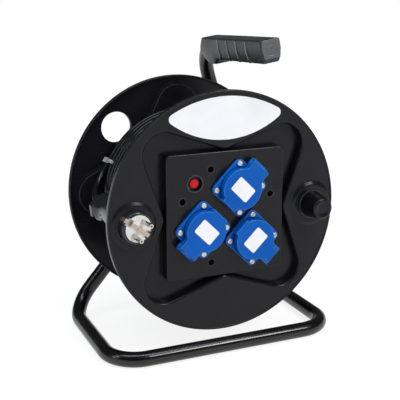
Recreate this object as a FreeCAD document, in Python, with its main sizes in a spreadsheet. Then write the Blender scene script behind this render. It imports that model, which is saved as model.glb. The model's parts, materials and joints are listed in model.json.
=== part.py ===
import FreeCAD, Part
import Sketcher
import math
import os
import re

# Extension cable reel: a plastic drum with three lidded sockets turns on a bent steel tube frame.
# Everything is first built about the drum: the origin is where the drum's axis meets the front
# flange's face, +X is to the right, +Y to the back and +Z up. At the end it is all moved so that
# the origin lies on the floor under the middle of the reel without its cord.

V = FreeCAD.Vector

SIZES = (
    ("flange_dia", 280, "flange across its rim"),
    ("flange_wall", 3, "wall of the flange moulding"),
    ("rim_width", 2.6, "bead round the flange"),
    ("rim_raise", 0.8, "bead proud of the flange's face"),
    ("rim_turn", 6, "bead turned back behind the face"),
    ("drum_width", 156.4, "outer face to outer face of the flanges"),
    ("star_depth", 10.8, "depth of the star shaped recess"),
    ("lobe_pitch", 103, "drum axis to the centre of a lobe's arc"),
    ("lobe_radius", 25, "arc at the end of a lobe"),
    ("notch_reach", 74.5, "drum axis to the notch between two lobes"),
    ("notch_radius", 13, "rounding of that notch"),
    ("star_draft", 1.4, "how much narrower the star is at its floor"),
    ("lip_radius", 3, "rounded lip of the star"),
    ("hole_pitch", 110.3, "drum axis to the plug's parking hole"),
    ("hole_dia", 38.4, "parking hole"),
    ("hole_angle", 180.8, "place of that hole round the drum, in degrees"),
    ("boss_dia", 44, "flat top of the soft bosses at the hole and the knob"),
    ("boss_slope", 6, "width of the slope round these bosses"),
    ("boss_raise", 2.5, "height of these bosses"),
    ("barrel_play", 2.638, "inside of the barrel to the widest piece behind the panel"),
    ("barrel_wall", 2.5, "wall of the barrel"),
    ("barrel_post_inset", 6.5, "outside of the barrel to the axes of its screw posts"),
    ("barrel_post_dia", 10, "screw posts inside the barrel"),
    ("barrel_screw_dia", 3.8, "screws into the barrel's ends"),
    ("barrel_screw_length", 32, "length of these screws"),
    ("screw_head_dia", 8, "heads of these screws"),
    ("screw_head_height", 2.4, "height of these heads"),
    ("hub_boss_dia", 38, "hub of the rear flange"),
    ("hub_front_drop", 1, "hub's end below the flange's face"),
    ("hub_height", 166.5, "drum axis above the floor"),
    ("tube_dia", 18, "frame tube"),
    ("tube_wall", 1.5, "wall of that tube"),
    ("frame_half", 139.5, "middle of the frame to the axis of a side arm"),
    ("frame_shift", 2.5, "frame's middle to the right of the drum axis"),
    ("frame_front", 6, "front bar's axis ahead of the front flange's face"),
    ("frame_back", 12.6, "rear tubes' axis behind the rear flange's face"),
    ("corner_bend", 38, "bend radius at the floor"),
    ("top_bend", 46, "bend radius below the grip"),
    ("top_right", 42.2, "top corner to the right of the drum axis"),
    ("top_rise", 174.5, "top corner above the drum axis"),
    ("grip_pitch", 2.8, "how far the grip rises to the front, in degrees"),
    ("grip_roll", 8.5, "how far the grip leans about its length, in degrees"),
    ("grip_front", 192, "top corner to the grip's front face"),
    ("grip_rear", 27, "top corner to the grip's rear end"),
    ("grip_width", 22.5, "width of the grip"),
    ("grip_above", 11.5, "grip's top above the tube's axis"),
    ("grip_below", 14.5, "grip's finger ridges below the tube's axis"),
    ("grip_chin", 4.5, "chamfer below the front face"),
    ("rear_lean", 7, "grip's rear end behind its top edge"),
    ("rear_foot", 7.7, "straight part of the rear end below the tube's axis"),
    ("guard_below", 20.5, "hand guard below the tube's axis"),
    ("guard_length", 15, "length of the guard's foot"),
    ("guard_from_end", 19, "guard's foot to the grip's rear end"),
    ("guard_rise", 11, "guard's foot to the finger ridges"),
    ("ridge_first", 36.8, "front face to the first ridge"),
    ("ridge_pitch", 24.7, "ridge to ridge"),
    ("groove_radius", 30, "scoop under the grip between two ridges"),
    ("groove_depth", 2.4, "depth of that scoop"),
    ("side_radius", 90, "scoop in the grip's side between two ridges"),
    ("side_depth", 0.8, "depth of that scoop"),
    ("grip_edge", 3.5, "rounding of the grip's long edges"),
    ("axle_dia", 10, "axle bolt"),
    ("axle_hex", 16, "head and nut of the axle bolt across their flats"),
    ("axle_head", 6.4, "height of the bolt's head"),
    ("axle_nut", 8, "height of the lock nut"),
    ("axle_inside", 22, "rear star floor to the bolt's front end"),
    ("sleeve_dia", 16, "sleeve welded through the frame"),
    ("sleeve_proud", 1.5, "sleeve's ends beyond the tube"),
    ("bush_dia", 28, "bush in the hub"),
    ("bush_gap", 0.3, "play at the bush's ends"),
    ("washer_dia", 24, "washer in front of the bush"),
    ("washer_thick", 2, "thickness of that washer"),
    ("panel_side", 145, "socket panel"),
    ("panel_proud", 1.7, "panel's face ahead of the flange's face"),
    ("panel_wall", 2.5, "wall of the panel"),
    ("panel_corner", 5, "upright corners of the panel"),
    ("panel_edge", 1.5, "rounding of its front edge"),
    ("post_in_top", 19.2, "upper screw posts to the nearer middle line"),
    ("post_out_top", 53.2, "upper screw posts to the other middle line"),
    ("post_in_low", 18.1, "lower screw posts to the nearer middle line"),
    ("post_out_low", 55.7, "lower screw posts to the other middle line"),
    ("post_dia", 12, "screw posts behind the panel"),
    ("post_well_dia", 8, "screw wells in the panel"),
    ("post_seat", 2.5, "bottom of a screw well"),
    ("panel_screw_dia", 3.6, "panel screws"),
    ("panel_screw_length", 17, "length of their threads"),
    ("panel_screw_head", 7.4, "heads of these screws"),
    ("socket_near", 14.7, "upper socket to the upright middle line"),
    ("socket_far", 29.5, "upper socket to the level middle line"),
    ("socket_corner", 31.5, "lower socket to both middle lines"),
    ("socket_side", 50, "square flange of a socket"),
    ("socket_plate", 4, "thickness of that flange"),
    ("socket_corner_radius", 6, "corners of that flange"),
    ("collar_dia", 42.4, "collar round the well"),
    ("collar_raise", 11, "collar's top above the panel"),
    ("well_dia", 39.8, "bore of the well"),
    ("well_depth", 17.5, "collar's top to the contact insert"),
    ("base_depth", 24.2, "socket's base behind the panel's face"),
    ("base_floor", 2, "floor of that base"),
    ("contact_dia", 5.8, "contact tubes"),
    ("contact_bore", 4.9, "bore of the contact tubes"),
    ("contact_pitch", 19, "one contact tube to the other"),
    ("clip_width", 6, "earth clips"),
    ("clip_thick", 0.8, "thickness of the earth clips"),
    ("clip_inset", 1.2, "earth clips inside the well's wall"),
    ("clip_rise", 8.8, "earth clips above the insert's face"),
    ("socket_screw_pitch", 40, "socket's corner screws"),
    ("socket_screw_dia", 3.4, "threads of these screws"),
    ("socket_screw_head", 6.6, "heads of these screws"),
    ("socket_head_height", 1.5, "height of these heads"),
    ("socket_slot", 0.9, "slot in these heads"),
    ("lid_dia", 47, "round part of a lid"),
    ("lid_top", 13.3, "lid's top above the panel"),
    ("lid_roof", 1.8, "lid's roof"),
    ("lid_wall", 1.3, "lid's wall"),
    ("lid_gap", 0.3, "lid above the socket's flange"),
    ("lid_lip", 24.7, "socket's middle to the lid's finger lip"),
    ("lid_lip_width", 20, "width of that lip"),
    ("hinge_width", 23.5, "hinge block of the lid"),
    ("lid_bend", 4, "hollow corners between a lid's round part and its hinge block"),
    ("hinge_out", 32.5, "socket's middle to the block's upper edge"),
    ("hinge_drop", 5, "height of the block's slanted end"),
    ("thumb_groove", 0.9, "width of the grooves in the block's outer corners"),
    ("thumb_depth", 0.9, "depth of these grooves"),
    ("thumb_length", 7, "length of these grooves on the block's top"),
    ("thumb_pitch", 1.9, "groove to groove"),
    ("pin_out", 30.3, "socket's middle to the hinge pin"),
    ("pin_rise", 6.7, "hinge pin above the panel"),
    ("pin_dia", 2.5, "hinge pin"),
    ("pin_length", 22.5, "length of the hinge pin"),
    ("knuckle_dia", 10.2, "rounded underside of the hinge block"),
    ("lug_width", 8, "socket's hinge lug"),
    ("lug_dia", 6.4, "eye of that lug"),
    ("lug_in", 24, "socket's middle to the lug's inner face"),
    ("slot_width", 14, "slot in the hinge block"),
    ("spring_inner", 3, "inside of the closing spring"),
    ("spring_outer", 4.2, "outside of the closing spring"),
    ("gasket_thick", 0.4, "rubber ring in the lid"),
    ("sticker_long", 26, "bare sticker on a lid"),
    ("sticker_wide", 18, "width of that sticker"),
    ("sticker_corner", 2, "rounding of its corners"),
    ("sticker_thick", 0.2, "thickness of the stickers and the label"),
    ("running_gap", 0.05, "radial play of turning and sliding fits"),
    ("seat_gap", 0.02, "radial play of pieces fixed in each other"),
    ("reset_corner", 38.4, "reset button to both middle lines"),
    ("reset_dia", 10, "reset button"),
    ("reset_travel", 3, "how far the tripped button comes out"),
    ("reset_ring_dia", 20, "ring round the button"),
    ("reset_well_dia", 17, "recess inside the ring"),
    ("reset_ring_raise", 1, "ring proud of the panel"),
    ("reset_neck_dia", 19.2, "neck of the ring in the panel"),
    ("reset_floor", 1.5, "floor of the recess"),
    ("reset_foot_dia", 13, "button's foot in the breaker"),
    ("reset_foot", 2, "thickness of that foot"),
    ("reset_sunk", 1.7, "button's face below the panel's face"),
    ("breaker_side", 22, "breaker's body"),
    ("breaker_depth", 38, "depth of the breaker's body"),
    ("knob_pitch", 111, "drum axis to the knob's axis"),
    ("knob_reach", 29, "knob's end ahead of the flange's face"),
    ("knob_rim_dia", 34, "thin rim at the knob's root"),
    ("knob_rim", 1.5, "thickness of that rim"),
    ("knob_root_dia", 31, "knob's body at its root"),
    ("knob_end_dia", 24, "knob's body at its end"),
    ("knob_edge", 2.5, "rounding of the knob's end"),
    ("knob_dish", 1, "hollow in the knob's end face"),
    ("spindle_dia", 8, "spindle of the knob"),
    ("spindle_head_dia", 16, "spindle's head behind the flange"),
    ("spindle_head", 2, "thickness of that head"),
    ("spindle_reach", 24, "spindle ahead of the flange's face"),
    ("face_gap", 0.3, "play between faces that turn on each other"),
    ("cord_dia", 8, "cord"),
    ("wind_play", 0.5, "inner layers to the outer layer"),
    ("wind_pitch", 8.5, "turn to turn"),
    ("loose_pitch", 10.1, "step before the tied turns"),
    ("tied_pitch", 8.6, "step between the tied turns"),
    ("wind_back", 18.4, "last turn ahead of the rear flange's face"),
    ("layer_drop", 8.5, "first turns below the others, where the plug lies"),
    ("core_wall", 19, "inner layers of the winding, from the barrel outwards"),
    ("core_step", 62.2, "front flange's face to the step in the inner layers"),
    ("core_play", 0.4, "inner layers to the flanges"),
    ("tie_width", 4, "cable tie"),
    ("tie_thick", 1.2, "thickness of the cable tie"),
    ("tie_play", 0.45, "cable tie round the cords"),
    ("tie_head", 6, "head of the cable tie"),
    ("tie_head_height", 4.2, "height of that head"),
    ("tie_from", 9, "winding's end to the cable tie"),
    ("gland_dia", 13, "gland in the barrel's wall"),
    ("gland_depth", 5, "gland inside the barrel's wall"),
    ("terminal_width", 18, "terminal block"),
    ("terminal_height", 16, "height of that block"),
    ("terminal_depth", 20, "depth of that block"),
    ("terminal_top", 48, "drum axis to that block"),
    ("plug_dia", 37.2, "body of the plug"),
    ("plug_length", 92, "plug's face to its rear end"),
    ("plug_straight", 37, "plug's straight body"),
    ("plug_waist_dia", 26, "waist of the plug"),
    ("plug_waist_from", 72, "plug's face to the waist"),
    ("plug_waist_end", 78, "plug's face to the waist's end"),
    ("plug_collar_dia", 35, "eight sided collar of the plug, across its corners"),
    ("plug_collar", 6, "thickness of that collar"),
    ("plug_edge", 2, "rounding of the plug's face"),
    ("plug_ahead", 12, "plug's face ahead of the flange's face"),
    ("plug_insert_dia", 30.6, "contact insert of the plug"),
    ("plug_insert_depth", 8, "thickness of that insert"),
    ("plug_pin_dia", 4.8, "plug's pins"),
    ("plug_pin_length", 19, "free length of the pins"),
    ("plug_pin_bore", 2.6, "hollow ends of the pins"),
    ("plug_pin_bore_depth", 5, "depth of these hollows"),
    ("plug_strap_width", 4.8, "earth strap of the plug"),
    ("plug_strap_thick", 0.8, "thickness of that strap"),
    ("plug_strap_half", 10.3, "plug's axis to the steps of the strap"),
    ("plug_strap_drop", 3, "step of the strap's ends below the plug's face"),
    ("plug_strap_reach", 18.2, "plug's axis to the outer faces of the strap's legs"),
    ("plug_strap_leg", 14, "strap's legs behind the plug's face"),
    ("plug_notch", 9, "notch round each end of the strap"),
    ("plug_rivet_dia", 2.6, "rivet in the middle of the strap"),
    ("plug_turn", 52.5, "slant of the plug's pin line, in degrees"),
    ("label_top_dia", 267, "upper edge of the bare label"),
    ("label_low_dia", 220, "lower edge of the bare label"),
    ("label_foot", 85, "drum axis to the label's lowest point"),
    ("label_tip", 6, "rounding of the label's two tips"),
    ("overrun", 1, "cutters beyond the faces that they cut"),
)

# Sizes that follow from others. The barrel goes round the breaker and the sockets' collars.
DERIVED = (
    ("breaker_reach", "(sqrt(2) * (reset_corner + breaker_side / 2))"),
    ("socket_reach", "(sqrt(2) * socket_corner + collar_dia / 2)"),
    ("barrel_dia", "(2 * (max(breaker_reach; socket_reach) + barrel_play + barrel_wall))"),
    ("barrel_post_pitch", "(barrel_dia / 2 - barrel_post_inset)"),
    ("core_dia", "(barrel_dia + 2 * core_wall)"),
    ("wind_dia", "(core_dia + 2 * wind_play + cord_dia)"),
)

# The cord's free stretch from the winding's tied end to the plug: its two inner points, as shares
# of the way from its first bend to its last along each axis.
LEAD_SHARES = (
    V(0.5205, 0.1862, 0.4799),
    V(0.8893, 0.5425, 0.8289),
)
TIED_ANGLE = 146
WOUND_QUARTERS = 55
TIED_QUARTERS = 4
LOOSE_QUARTERS = 8
CLIMBED_QUARTER = 36
CLIMB_QUARTERS = 2
LEAD_FIRST_DIAMETERS = 2.59
LEAD_LAST_DIAMETERS = 1.93
PLUG_AXIS_SHARES = V(-9.6, 77, 2.5)
ARC_SHARE = 0.45
SPOTS_A_QUARTER = 120

doc = FreeCAD.newDocument("CableReel")
sheet = doc.addObject("Spreadsheet::Sheet", "Sizes")
for row, (alias, value, note) in enumerate(SIZES, start=1):
    sheet.set("A%d" % row, note)
    sheet.set("B%d" % row, str(value))
    sheet.setAlias("B%d" % row, alias)
doc.recompute()

WORDS = re.compile(r"\b(%s)\b" % "|".join(alias for alias, value, note in SIZES))
nodes = []


def sized(text):
    """The expression with each size read from the sheet."""
    for name, rule in reversed(DERIVED):
        text = re.sub(r"\b%s\b" % name, rule, text)
    return WORDS.sub(r"Sizes.\1", text)


def number(text):
    """The value of an expression in the sheet's sizes."""
    return float(sheet.evalExpression(sized(text)))


def bind(item, **expressions):
    for name, text in expressions.items():
        item.setExpression(name.replace("__", "."), sized(text))
    return item


def node(name, pieces, place=None, on_cord=False):
    """A sub-part of its own, made of one piece or of a group of like pieces, at its place."""
    part = doc.addObject("Part::Compound", "Node_" + name)
    part.Label = name
    part.Links = pieces
    nodes.append((part, place or FreeCAD.Placement(), on_cord))
    return part


def turn_about(axis, degrees):
    return FreeCAD.Placement(V(), FreeCAD.Rotation(axis, degrees))


def shift(x, y, z):
    return FreeCAD.Placement(V(x, y, z), FreeCAD.Rotation())


RIGHT = V(1, 0, 0)
BACK = V(0, 1, 0)
UP = V(0, 0, 1)
ROD_TURNS = {"X": (BACK, 90), "Y": (RIGHT, -90), "Z": (UP, 0)}


def rod(name, radius, start, length, x="0", y="0", z="0", along="Y"):
    """A cylinder along an axis. Its start replaces the coordinate of that axis."""
    item = doc.addObject("Part::Cylinder", name)
    axis, degrees = ROD_TURNS[along]
    item.Placement = turn_about(axis, degrees)
    place = {"X": x, "Y": y, "Z": z}
    place[along] = start
    return bind(item, Radius=radius, Height=length, Placement__Base__x=place["X"],
                Placement__Base__y=place["Y"], Placement__Base__z=place["Z"])


def block(name, x, y, z):
    """A box from the first to the second value along each axis."""
    item = doc.addObject("Part::Box", name)
    return bind(item, Length="(%s) - (%s)" % (x[1], x[0]), Width="(%s) - (%s)" % (y[1], y[0]),
                Height="(%s) - (%s)" % (z[1], z[0]), Placement__Base__x=x[0],
                Placement__Base__y=y[0], Placement__Base__z=z[0])


def joined(name, items):
    item = doc.addObject("Part::MultiFuse", name)
    item.Shapes = items
    item.Refine = True
    return item


def cut(name, base, tools):
    item = doc.addObject("Part::Cut", name)
    item.Base = base
    item.Tool = tools[0] if len(tools) == 1 else joined(name + "_tools", tools)
    return item


def solid(name, shape):
    item = doc.addObject("Part::Feature", name)
    item.Shape = shape
    return item


def sketch_on(body, role, offset):
    """A sketch on one of the body's own planes, moved along its normal."""
    sketch = body.newObject("Sketcher::SketchObject", body.Name + "_sketch")
    plane = [face for face in body.Origin.OriginFeatures if face.Role == role][0]
    sketch.AttachmentSupport = [(plane, "")]
    sketch.MapMode = "FlatFace"
    return bind(sketch, AttachmentOffset__Base__z=offset)


def draw_outline(sketch, points):
    """A closed outline of straight lines whose corners are bound to the sheet."""
    corners = [V(number(across), number(up), 0) for across, up in points]
    count = len(corners)
    for index in range(count):
        line = Part.LineSegment(corners[index], corners[(index + 1) % count])
        sketch.addGeometry(line, False)
    for index in range(count):
        sketch.addConstraint(Sketcher.Constraint("Coincident", index, 2, (index + 1) % count, 1))
    for index, (point, corner) in enumerate(zip(points, corners)):
        for text, place, kind, axis in ((point[0], corner.x, "DistanceX", -2),
                                        (point[1], corner.y, "DistanceY", -1)):
            if abs(place) < 1e-9:
                sketch.addConstraint(Sketcher.Constraint("PointOnObject", index, 1, axis))
                continue
            constraint = sketch.addConstraint(Sketcher.Constraint(kind, -1, 1, index, 1, place))
            sketch.setExpression("Constraints[%d]" % constraint, sized(text))


def turned(name, points):
    """A turned piece about the Y axis, from an outline of (radius, y)."""
    body = doc.addObject("PartDesign::Body", name)
    sketch = sketch_on(body, "XY_Plane", "0")
    draw_outline(sketch, points)
    turn = body.newObject("PartDesign::Revolution", name + "_turn")
    turn.Profile = sketch
    turn.ReferenceAxis = (sketch, ["V_Axis"])
    turn.Angle = 360
    return body


def slab(name, role, points, start, length):
    """An outline raised by a length from a plane of its own body."""
    body = doc.addObject("PartDesign::Body", name)
    sketch = sketch_on(body, role, start)
    draw_outline(sketch, points)
    pad = body.newObject("PartDesign::Pad", name + "_pad")
    pad.Profile = sketch
    bind(pad, Length=length)
    return body


def round_edges(body, radius, chosen):
    """A fillet on those edges of the body's last feature that the test picks."""
    doc.recompute()
    last = body.Tip
    names = ["Edge%d" % number for number, edge in enumerate(last.Shape.Edges, start=1)
             if chosen(edge)]
    fillet = body.newObject("PartDesign::Fillet", body.Name + "_round")
    fillet.Base = (last, names)
    return bind(fillet, Radius=radius)


def spans(edge, axis):
    """How far an edge reaches along an axis."""
    places = [vertex.Point.dot(axis) for vertex in edge.Vertexes]
    return max(places) - min(places)


def polar(radius, degrees):
    return radius * math.cos(math.radians(degrees)), radius * math.sin(math.radians(degrees))


# Paths and tubes

def bent_path(points, bends):
    """Straight runs through the points, joined at each inner point by a tangent arc."""
    edges = []
    start = points[0]
    for before, corner, after, bend in zip(points, points[1:], points[2:], bends):
        toward = (before - corner).normalize()
        away = (after - corner).normalize()
        half_turn = (math.pi - toward.getAngle(away)) / 2
        reach = bend * math.tan(half_turn)
        inward = (toward + away).normalize()
        middle = corner + inward * (bend / math.cos(half_turn) - bend)
        enter = corner + toward * reach
        leave = corner + away * reach
        edges.append(Part.LineSegment(start, enter).toShape())
        edges.append(Part.Arc(enter, middle, leave).toShape())
        start = leave
    edges.append(Part.LineSegment(start, points[-1]).toShape())
    return Part.Wire(edges)


def cord_bends(points):
    """The largest bend at each inner point that its two runs leave room for."""
    bends = []
    for before, corner, after in zip(points, points[1:], points[2:]):
        shorter = min((corner - before).Length, (after - corner).Length)
        turn = math.pi - (before - corner).getAngle(after - corner)
        bends.append(ARC_SHARE * shorter / math.tan(turn / 2))
    return bends


def pipe(path, radius):
    first = path.Edges[0]
    start = first.valueAt(first.FirstParameter)
    heading = first.tangentAt(first.FirstParameter)
    shell = Part.BRepOffsetAPI.MakePipeShell(path)
    shell.add(Part.Wire(Part.makeCircle(radius, start, heading)))
    shell.build()
    shell.makeSolid()
    return shell.shape()


def arc_middle(start, heading, end):
    """Middle point of the arc that leaves a point along a heading and ends at another point."""
    chord = end - start
    side = (chord - heading * chord.dot(heading)).normalize()
    radius = chord.dot(chord) / (2 * chord.dot(side))
    centre = start + side * radius
    outward = ((start + end) * 0.5 - centre).normalize()
    return centre + outward * radius


def biarc(start, heading, end, arriving):
    """Two tangent arcs between two points with given headings."""
    chord = end - start
    spread = 2 * (1 - heading.dot(arriving))
    run = chord.dot(heading + arriving)
    reach = (math.sqrt(run * run + spread * chord.dot(chord)) - run) / spread
    joint = (start + heading * reach + end - arriving * reach) * 0.5
    first = Part.Arc(start, arc_middle(start, heading, joint), joint)
    last = Part.Arc(joint, arc_middle(end, arriving * -1, joint), end)
    return [first.toShape(), last.toShape()]


# Frame: one bent tube with its grip and the axle

GRIP_RIDGES = 4


def frame_corners():
    left = number("frame_shift - frame_half")
    right = number("frame_shift + frame_half")
    floor = number("tube_dia / 2 - hub_height")
    front = -number("frame_front")
    back = number("drum_width + frame_back")
    rise = number("top_rise")
    top = V(number("top_right"), back, rise)
    slope = math.radians(number("grip_pitch"))
    forward = V(0, -math.cos(slope), math.sin(slope))
    end = top + forward * number("grip_front - grip_below / 2")
    lower_left = V(left, back, floor)
    hub = V(0, back, 0)
    upright = V(right, back, floor) - top
    diagonal = hub - lower_left
    share = ((top.z - hub.z) * upright.x - (top.x - hub.x) * upright.z) / (
        diagonal.z * upright.x - diagonal.x * upright.z)
    meeting = hub + diagonal * share
    return [end, top, V(right, back, floor), V(right, front, floor), V(left, front, floor),
            lower_left, meeting]


def brace_start(corners):
    """Where the tube to the hub leaves its last bend."""
    heading = (corners[-1] - corners[-2]).normalize()
    return corners[-2] + heading * number("2 * corner_bend"), heading


def frame_tube():
    corners = frame_corners()
    bends = [number("top_bend")] + [number("corner_bend")] * 4
    short, heading = brace_start(corners)
    path = bent_path(corners[:-1] + [short], bends)
    outer = number("tube_dia / 2")
    inner = outer - number("tube_wall")
    brace = (corners[-1] - short).Length
    shape = pipe(path, outer).fuse(Part.makeCylinder(outer, brace, short, heading))
    bore_end = brace - number("tube_dia")
    shape = shape.cut(pipe(path, inner))
    shape = shape.cut(Part.makeCylinder(inner, bore_end, short, heading))
    hole = number("sleeve_dia / 2 + seat_gap")
    behind = number("drum_width + frame_back - tube_dia")
    shape = shape.cut(Part.makeCylinder(hole, 2 * number("tube_dia"), V(0, behind, 0), BACK))
    return solid("frame_tube_shape", shape.removeSplitter())


def grip_room():
    """The room that the bent tube takes in the grip, about the grip's own axes."""
    end, top, foot = frame_corners()[:3]
    path = bent_path([end, top, foot], [number("top_bend")])
    room = pipe(path, number("tube_dia / 2 + seat_gap"))
    room.transformShape(grip_place().inverse().toMatrix())
    return solid("grip_room", room)


def grip():
    """The moulded grip about its own axes: the tube's axis along Y, its front end before."""
    front = "-grip_front"
    rear = "-grip_rear"
    foot = rear + " - guard_from_end"
    outline = [
        (front, "grip_above"),
        (rear + " - rear_lean", "grip_above"),
        (rear, "0"),
        (rear, "-rear_foot"),
        (foot, "-guard_below"),
        (foot + " - guard_length", "-guard_below"),
        (foot + " - guard_length - guard_rise", "-grip_below"),
        (front + " + grip_chin", "-grip_below"),
        (front, "grip_chin - grip_below"),
    ]
    body = slab("grip_body", "YZ_Plane", outline, "-grip_width / 2", "grip_width")
    half = number("grip_width / 2")
    round_edges(body, "grip_edge",
                lambda edge: all(abs(abs(v.X) - half) < 1e-6 for v in edge.Vertexes)
                and spans(edge, RIGHT) < 1e-6)
    scoops = []
    for index in range(GRIP_RIDGES - 1):
        between = "ridge_first + %s * ridge_pitch - grip_front" % (index + 1 / 2)
        scoops.append(rod("grip_scoop_%d" % index, "groove_radius", "-grip_width", "2 * grip_width",
                          y=between, z="groove_depth - grip_below - groove_radius", along="X"))
        for side in ("", "-"):
            middle = side + "(grip_width / 2 - side_depth + side_radius)"
            scoops.append(rod("grip_side_scoop", "side_radius", "-grip_below - overrun",
                              "grip_below + overrun + grip_edge", x=middle, y=between, along="Z"))
    return cut("grip_shape", body, scoops + [grip_room()])


def grip_place():
    back = number("drum_width + frame_back")
    place = shift(number("top_right"), back, number("top_rise"))
    pitch = turn_about(RIGHT, -number("grip_pitch"))
    roll = turn_about(BACK, -number("grip_roll"))
    return place.multiply(pitch).multiply(roll)


def hexagon(name, across, start, length):
    item = doc.addObject("Part::Prism", name)
    item.Polygon = 6
    item.Placement = turn_about(RIGHT, -90)
    return bind(item, Circumradius="(%s) / sqrt(3)" % across, Height=length,
                Placement__Base__y=start)


SLEEVE_FRONT = "drum_width + frame_back - tube_dia / 2 - sleeve_proud"
SLEEVE_LENGTH = "tube_dia + 2 * sleeve_proud"
STAR_FLOOR_BACK = "drum_width - star_depth - flange_wall"
HUB_FRONT = STAR_FLOOR_BACK


def axle():
    sleeve = rod("axle_sleeve_tube", "sleeve_dia / 2", SLEEVE_FRONT, SLEEVE_LENGTH)
    hollow = rod("axle_sleeve_bore", "axle_dia / 2 + seat_gap", SLEEVE_FRONT, SLEEVE_LENGTH)
    node("axle_sleeve", [cut("axle_sleeve_shape", sleeve, [hollow])])
    head_start = "%s + %s" % (SLEEVE_FRONT, SLEEVE_LENGTH)
    bolt_front = "%s - axle_inside" % STAR_FLOOR_BACK
    shank = rod("axle_shank", "axle_dia / 2", bolt_front, "%s - (%s)" % (head_start, bolt_front))
    head = hexagon("axle_bolt_head", "axle_hex", head_start, "axle_head")
    node("axle_bolt", [joined("axle_bolt_shape", [shank, head])])
    washer_start = "%s - bush_gap - washer_thick" % HUB_FRONT
    washer = rod("axle_washer_disc", "washer_dia / 2", washer_start, "washer_thick")
    opening = rod("axle_washer_hole", "axle_dia / 2 + seat_gap", washer_start, "washer_thick")
    node("axle_washer", [cut("axle_washer_shape", washer, [opening])])
    nut_start = "%s - axle_nut" % washer_start
    nut = hexagon("lock_nut_block", "axle_hex", nut_start, "axle_nut")
    thread = rod("lock_nut_bore", "axle_dia / 2 + seat_gap", nut_start, "axle_nut")
    node("lock_nut", [cut("lock_nut_shape", nut, [thread])])
    bush_length = "%s - bush_gap - (%s)" % (SLEEVE_FRONT, HUB_FRONT)
    bush = rod("hub_bush_body", "bush_dia / 2", HUB_FRONT, bush_length)
    bearing = rod("hub_bush_bore", "axle_dia / 2 + running_gap", HUB_FRONT, bush_length)
    node("hub_bush", [cut("hub_bush_shape", bush, [bearing])])


# Drum: two flanges of one moulding, the rear one turned by half a lobe, and the barrel

BEAD_ROUND_SHARE = 0.4
LOBES = (45, 135, 225, 315)
REAR_TURN = 135
BARREL_POSTS = (22.5, 112.5, 202.5, 292.5)


def around(radius, degrees, depth):
    """The point at a radius and an angle about the drum axis, at a depth."""
    across, up = polar(radius, degrees)
    return V(across, depth, up)


def star_outline(grow, depth):
    """The star's outline let out by a length, at a depth behind the flange's face."""
    lobe = number("lobe_radius") + grow
    notch = number("notch_radius") - grow
    notch_pitch = number("notch_reach + notch_radius")
    step = 180 / len(LOBES)
    edges = []
    for angle in LOBES:
        centre = around(number("lobe_pitch"), angle, depth)
        sides = []
        for side in (-1, 1):
            corner = around(notch_pitch, angle + side * step, depth)
            apart = corner - centre
            swing = math.degrees(math.acos((lobe + notch) / apart.Length))
            facing = math.degrees(math.atan2(apart.z, apart.x)) - side * swing
            normal = around(1, facing, 0)
            sides.append((centre + normal * lobe, corner - normal * notch))
        (first_lobe, first_notch), (last_lobe, last_notch) = sides
        tip = around(number("lobe_pitch") + lobe, angle, depth)
        bottom = around(notch_pitch - notch, angle + step, depth)
        next_notch = turn_about(BACK, -2 * step).multVec(first_notch)
        edges.append(Part.LineSegment(first_notch, first_lobe).toShape())
        edges.append(Part.Arc(first_lobe, tip, last_lobe).toShape())
        edges.append(Part.LineSegment(last_lobe, last_notch).toShape())
        edges.append(Part.Arc(last_notch, bottom, next_notch).toShape())
    return Part.Wire(edges)


def star_block(front_grow, front, back_grow, back):
    outlines = [star_outline(front_grow, front), star_outline(back_grow, back)]
    return Part.makeLoft(outlines, True, True)


def disc(dia, start, end, x=0, z=0):
    return Part.makeCylinder(dia / 2, end - start, V(x, start, z), BACK)


def flat_rings(shape, depth):
    """The round edges of a shape that lie at one depth."""
    return [edge for edge in shape.Edges
            if len(edge.Vertexes) == 1 and abs(edge.Vertexes[0].Y - depth) < 1e-6]


def raised_boss(x, z):
    """A flat topped boss whose slope runs softly into the flange's face."""
    inner = number("boss_dia / 2")
    slope = number("boss_slope")
    rise = number("boss_raise")
    bend = (slope * slope + rise * rise) / (4 * rise)
    sine = slope / 2 / bend
    half_sine = math.sin(math.asin(sine) / 2)
    half_cosine = math.cos(math.asin(sine) / 2)
    top = V(inner, -rise, 0)
    middle = V(inner + slope / 2, -rise / 2, 0)
    foot = V(inner + slope, 0, 0)
    upper = V(inner + bend * half_sine, bend - bend * half_cosine - rise, 0)
    lower = V(inner + slope - bend * half_sine, bend * half_cosine - bend, 0)
    under = V(inner + slope, number("flange_wall"), 0)
    centre = V(0, number("flange_wall"), 0)
    crown = V(0, -rise, 0)
    edges = [Part.LineSegment(crown, top).toShape(), Part.Arc(top, upper, middle).toShape(),
             Part.Arc(middle, lower, foot).toShape(), Part.LineSegment(foot, under).toShape(),
             Part.LineSegment(under, centre).toShape(), Part.LineSegment(centre, crown).toShape()]
    boss = Part.Face(Part.Wire(edges)).revolve(V(), BACK, 360)
    boss.translate(V(x, 0, z))
    return boss


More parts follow.
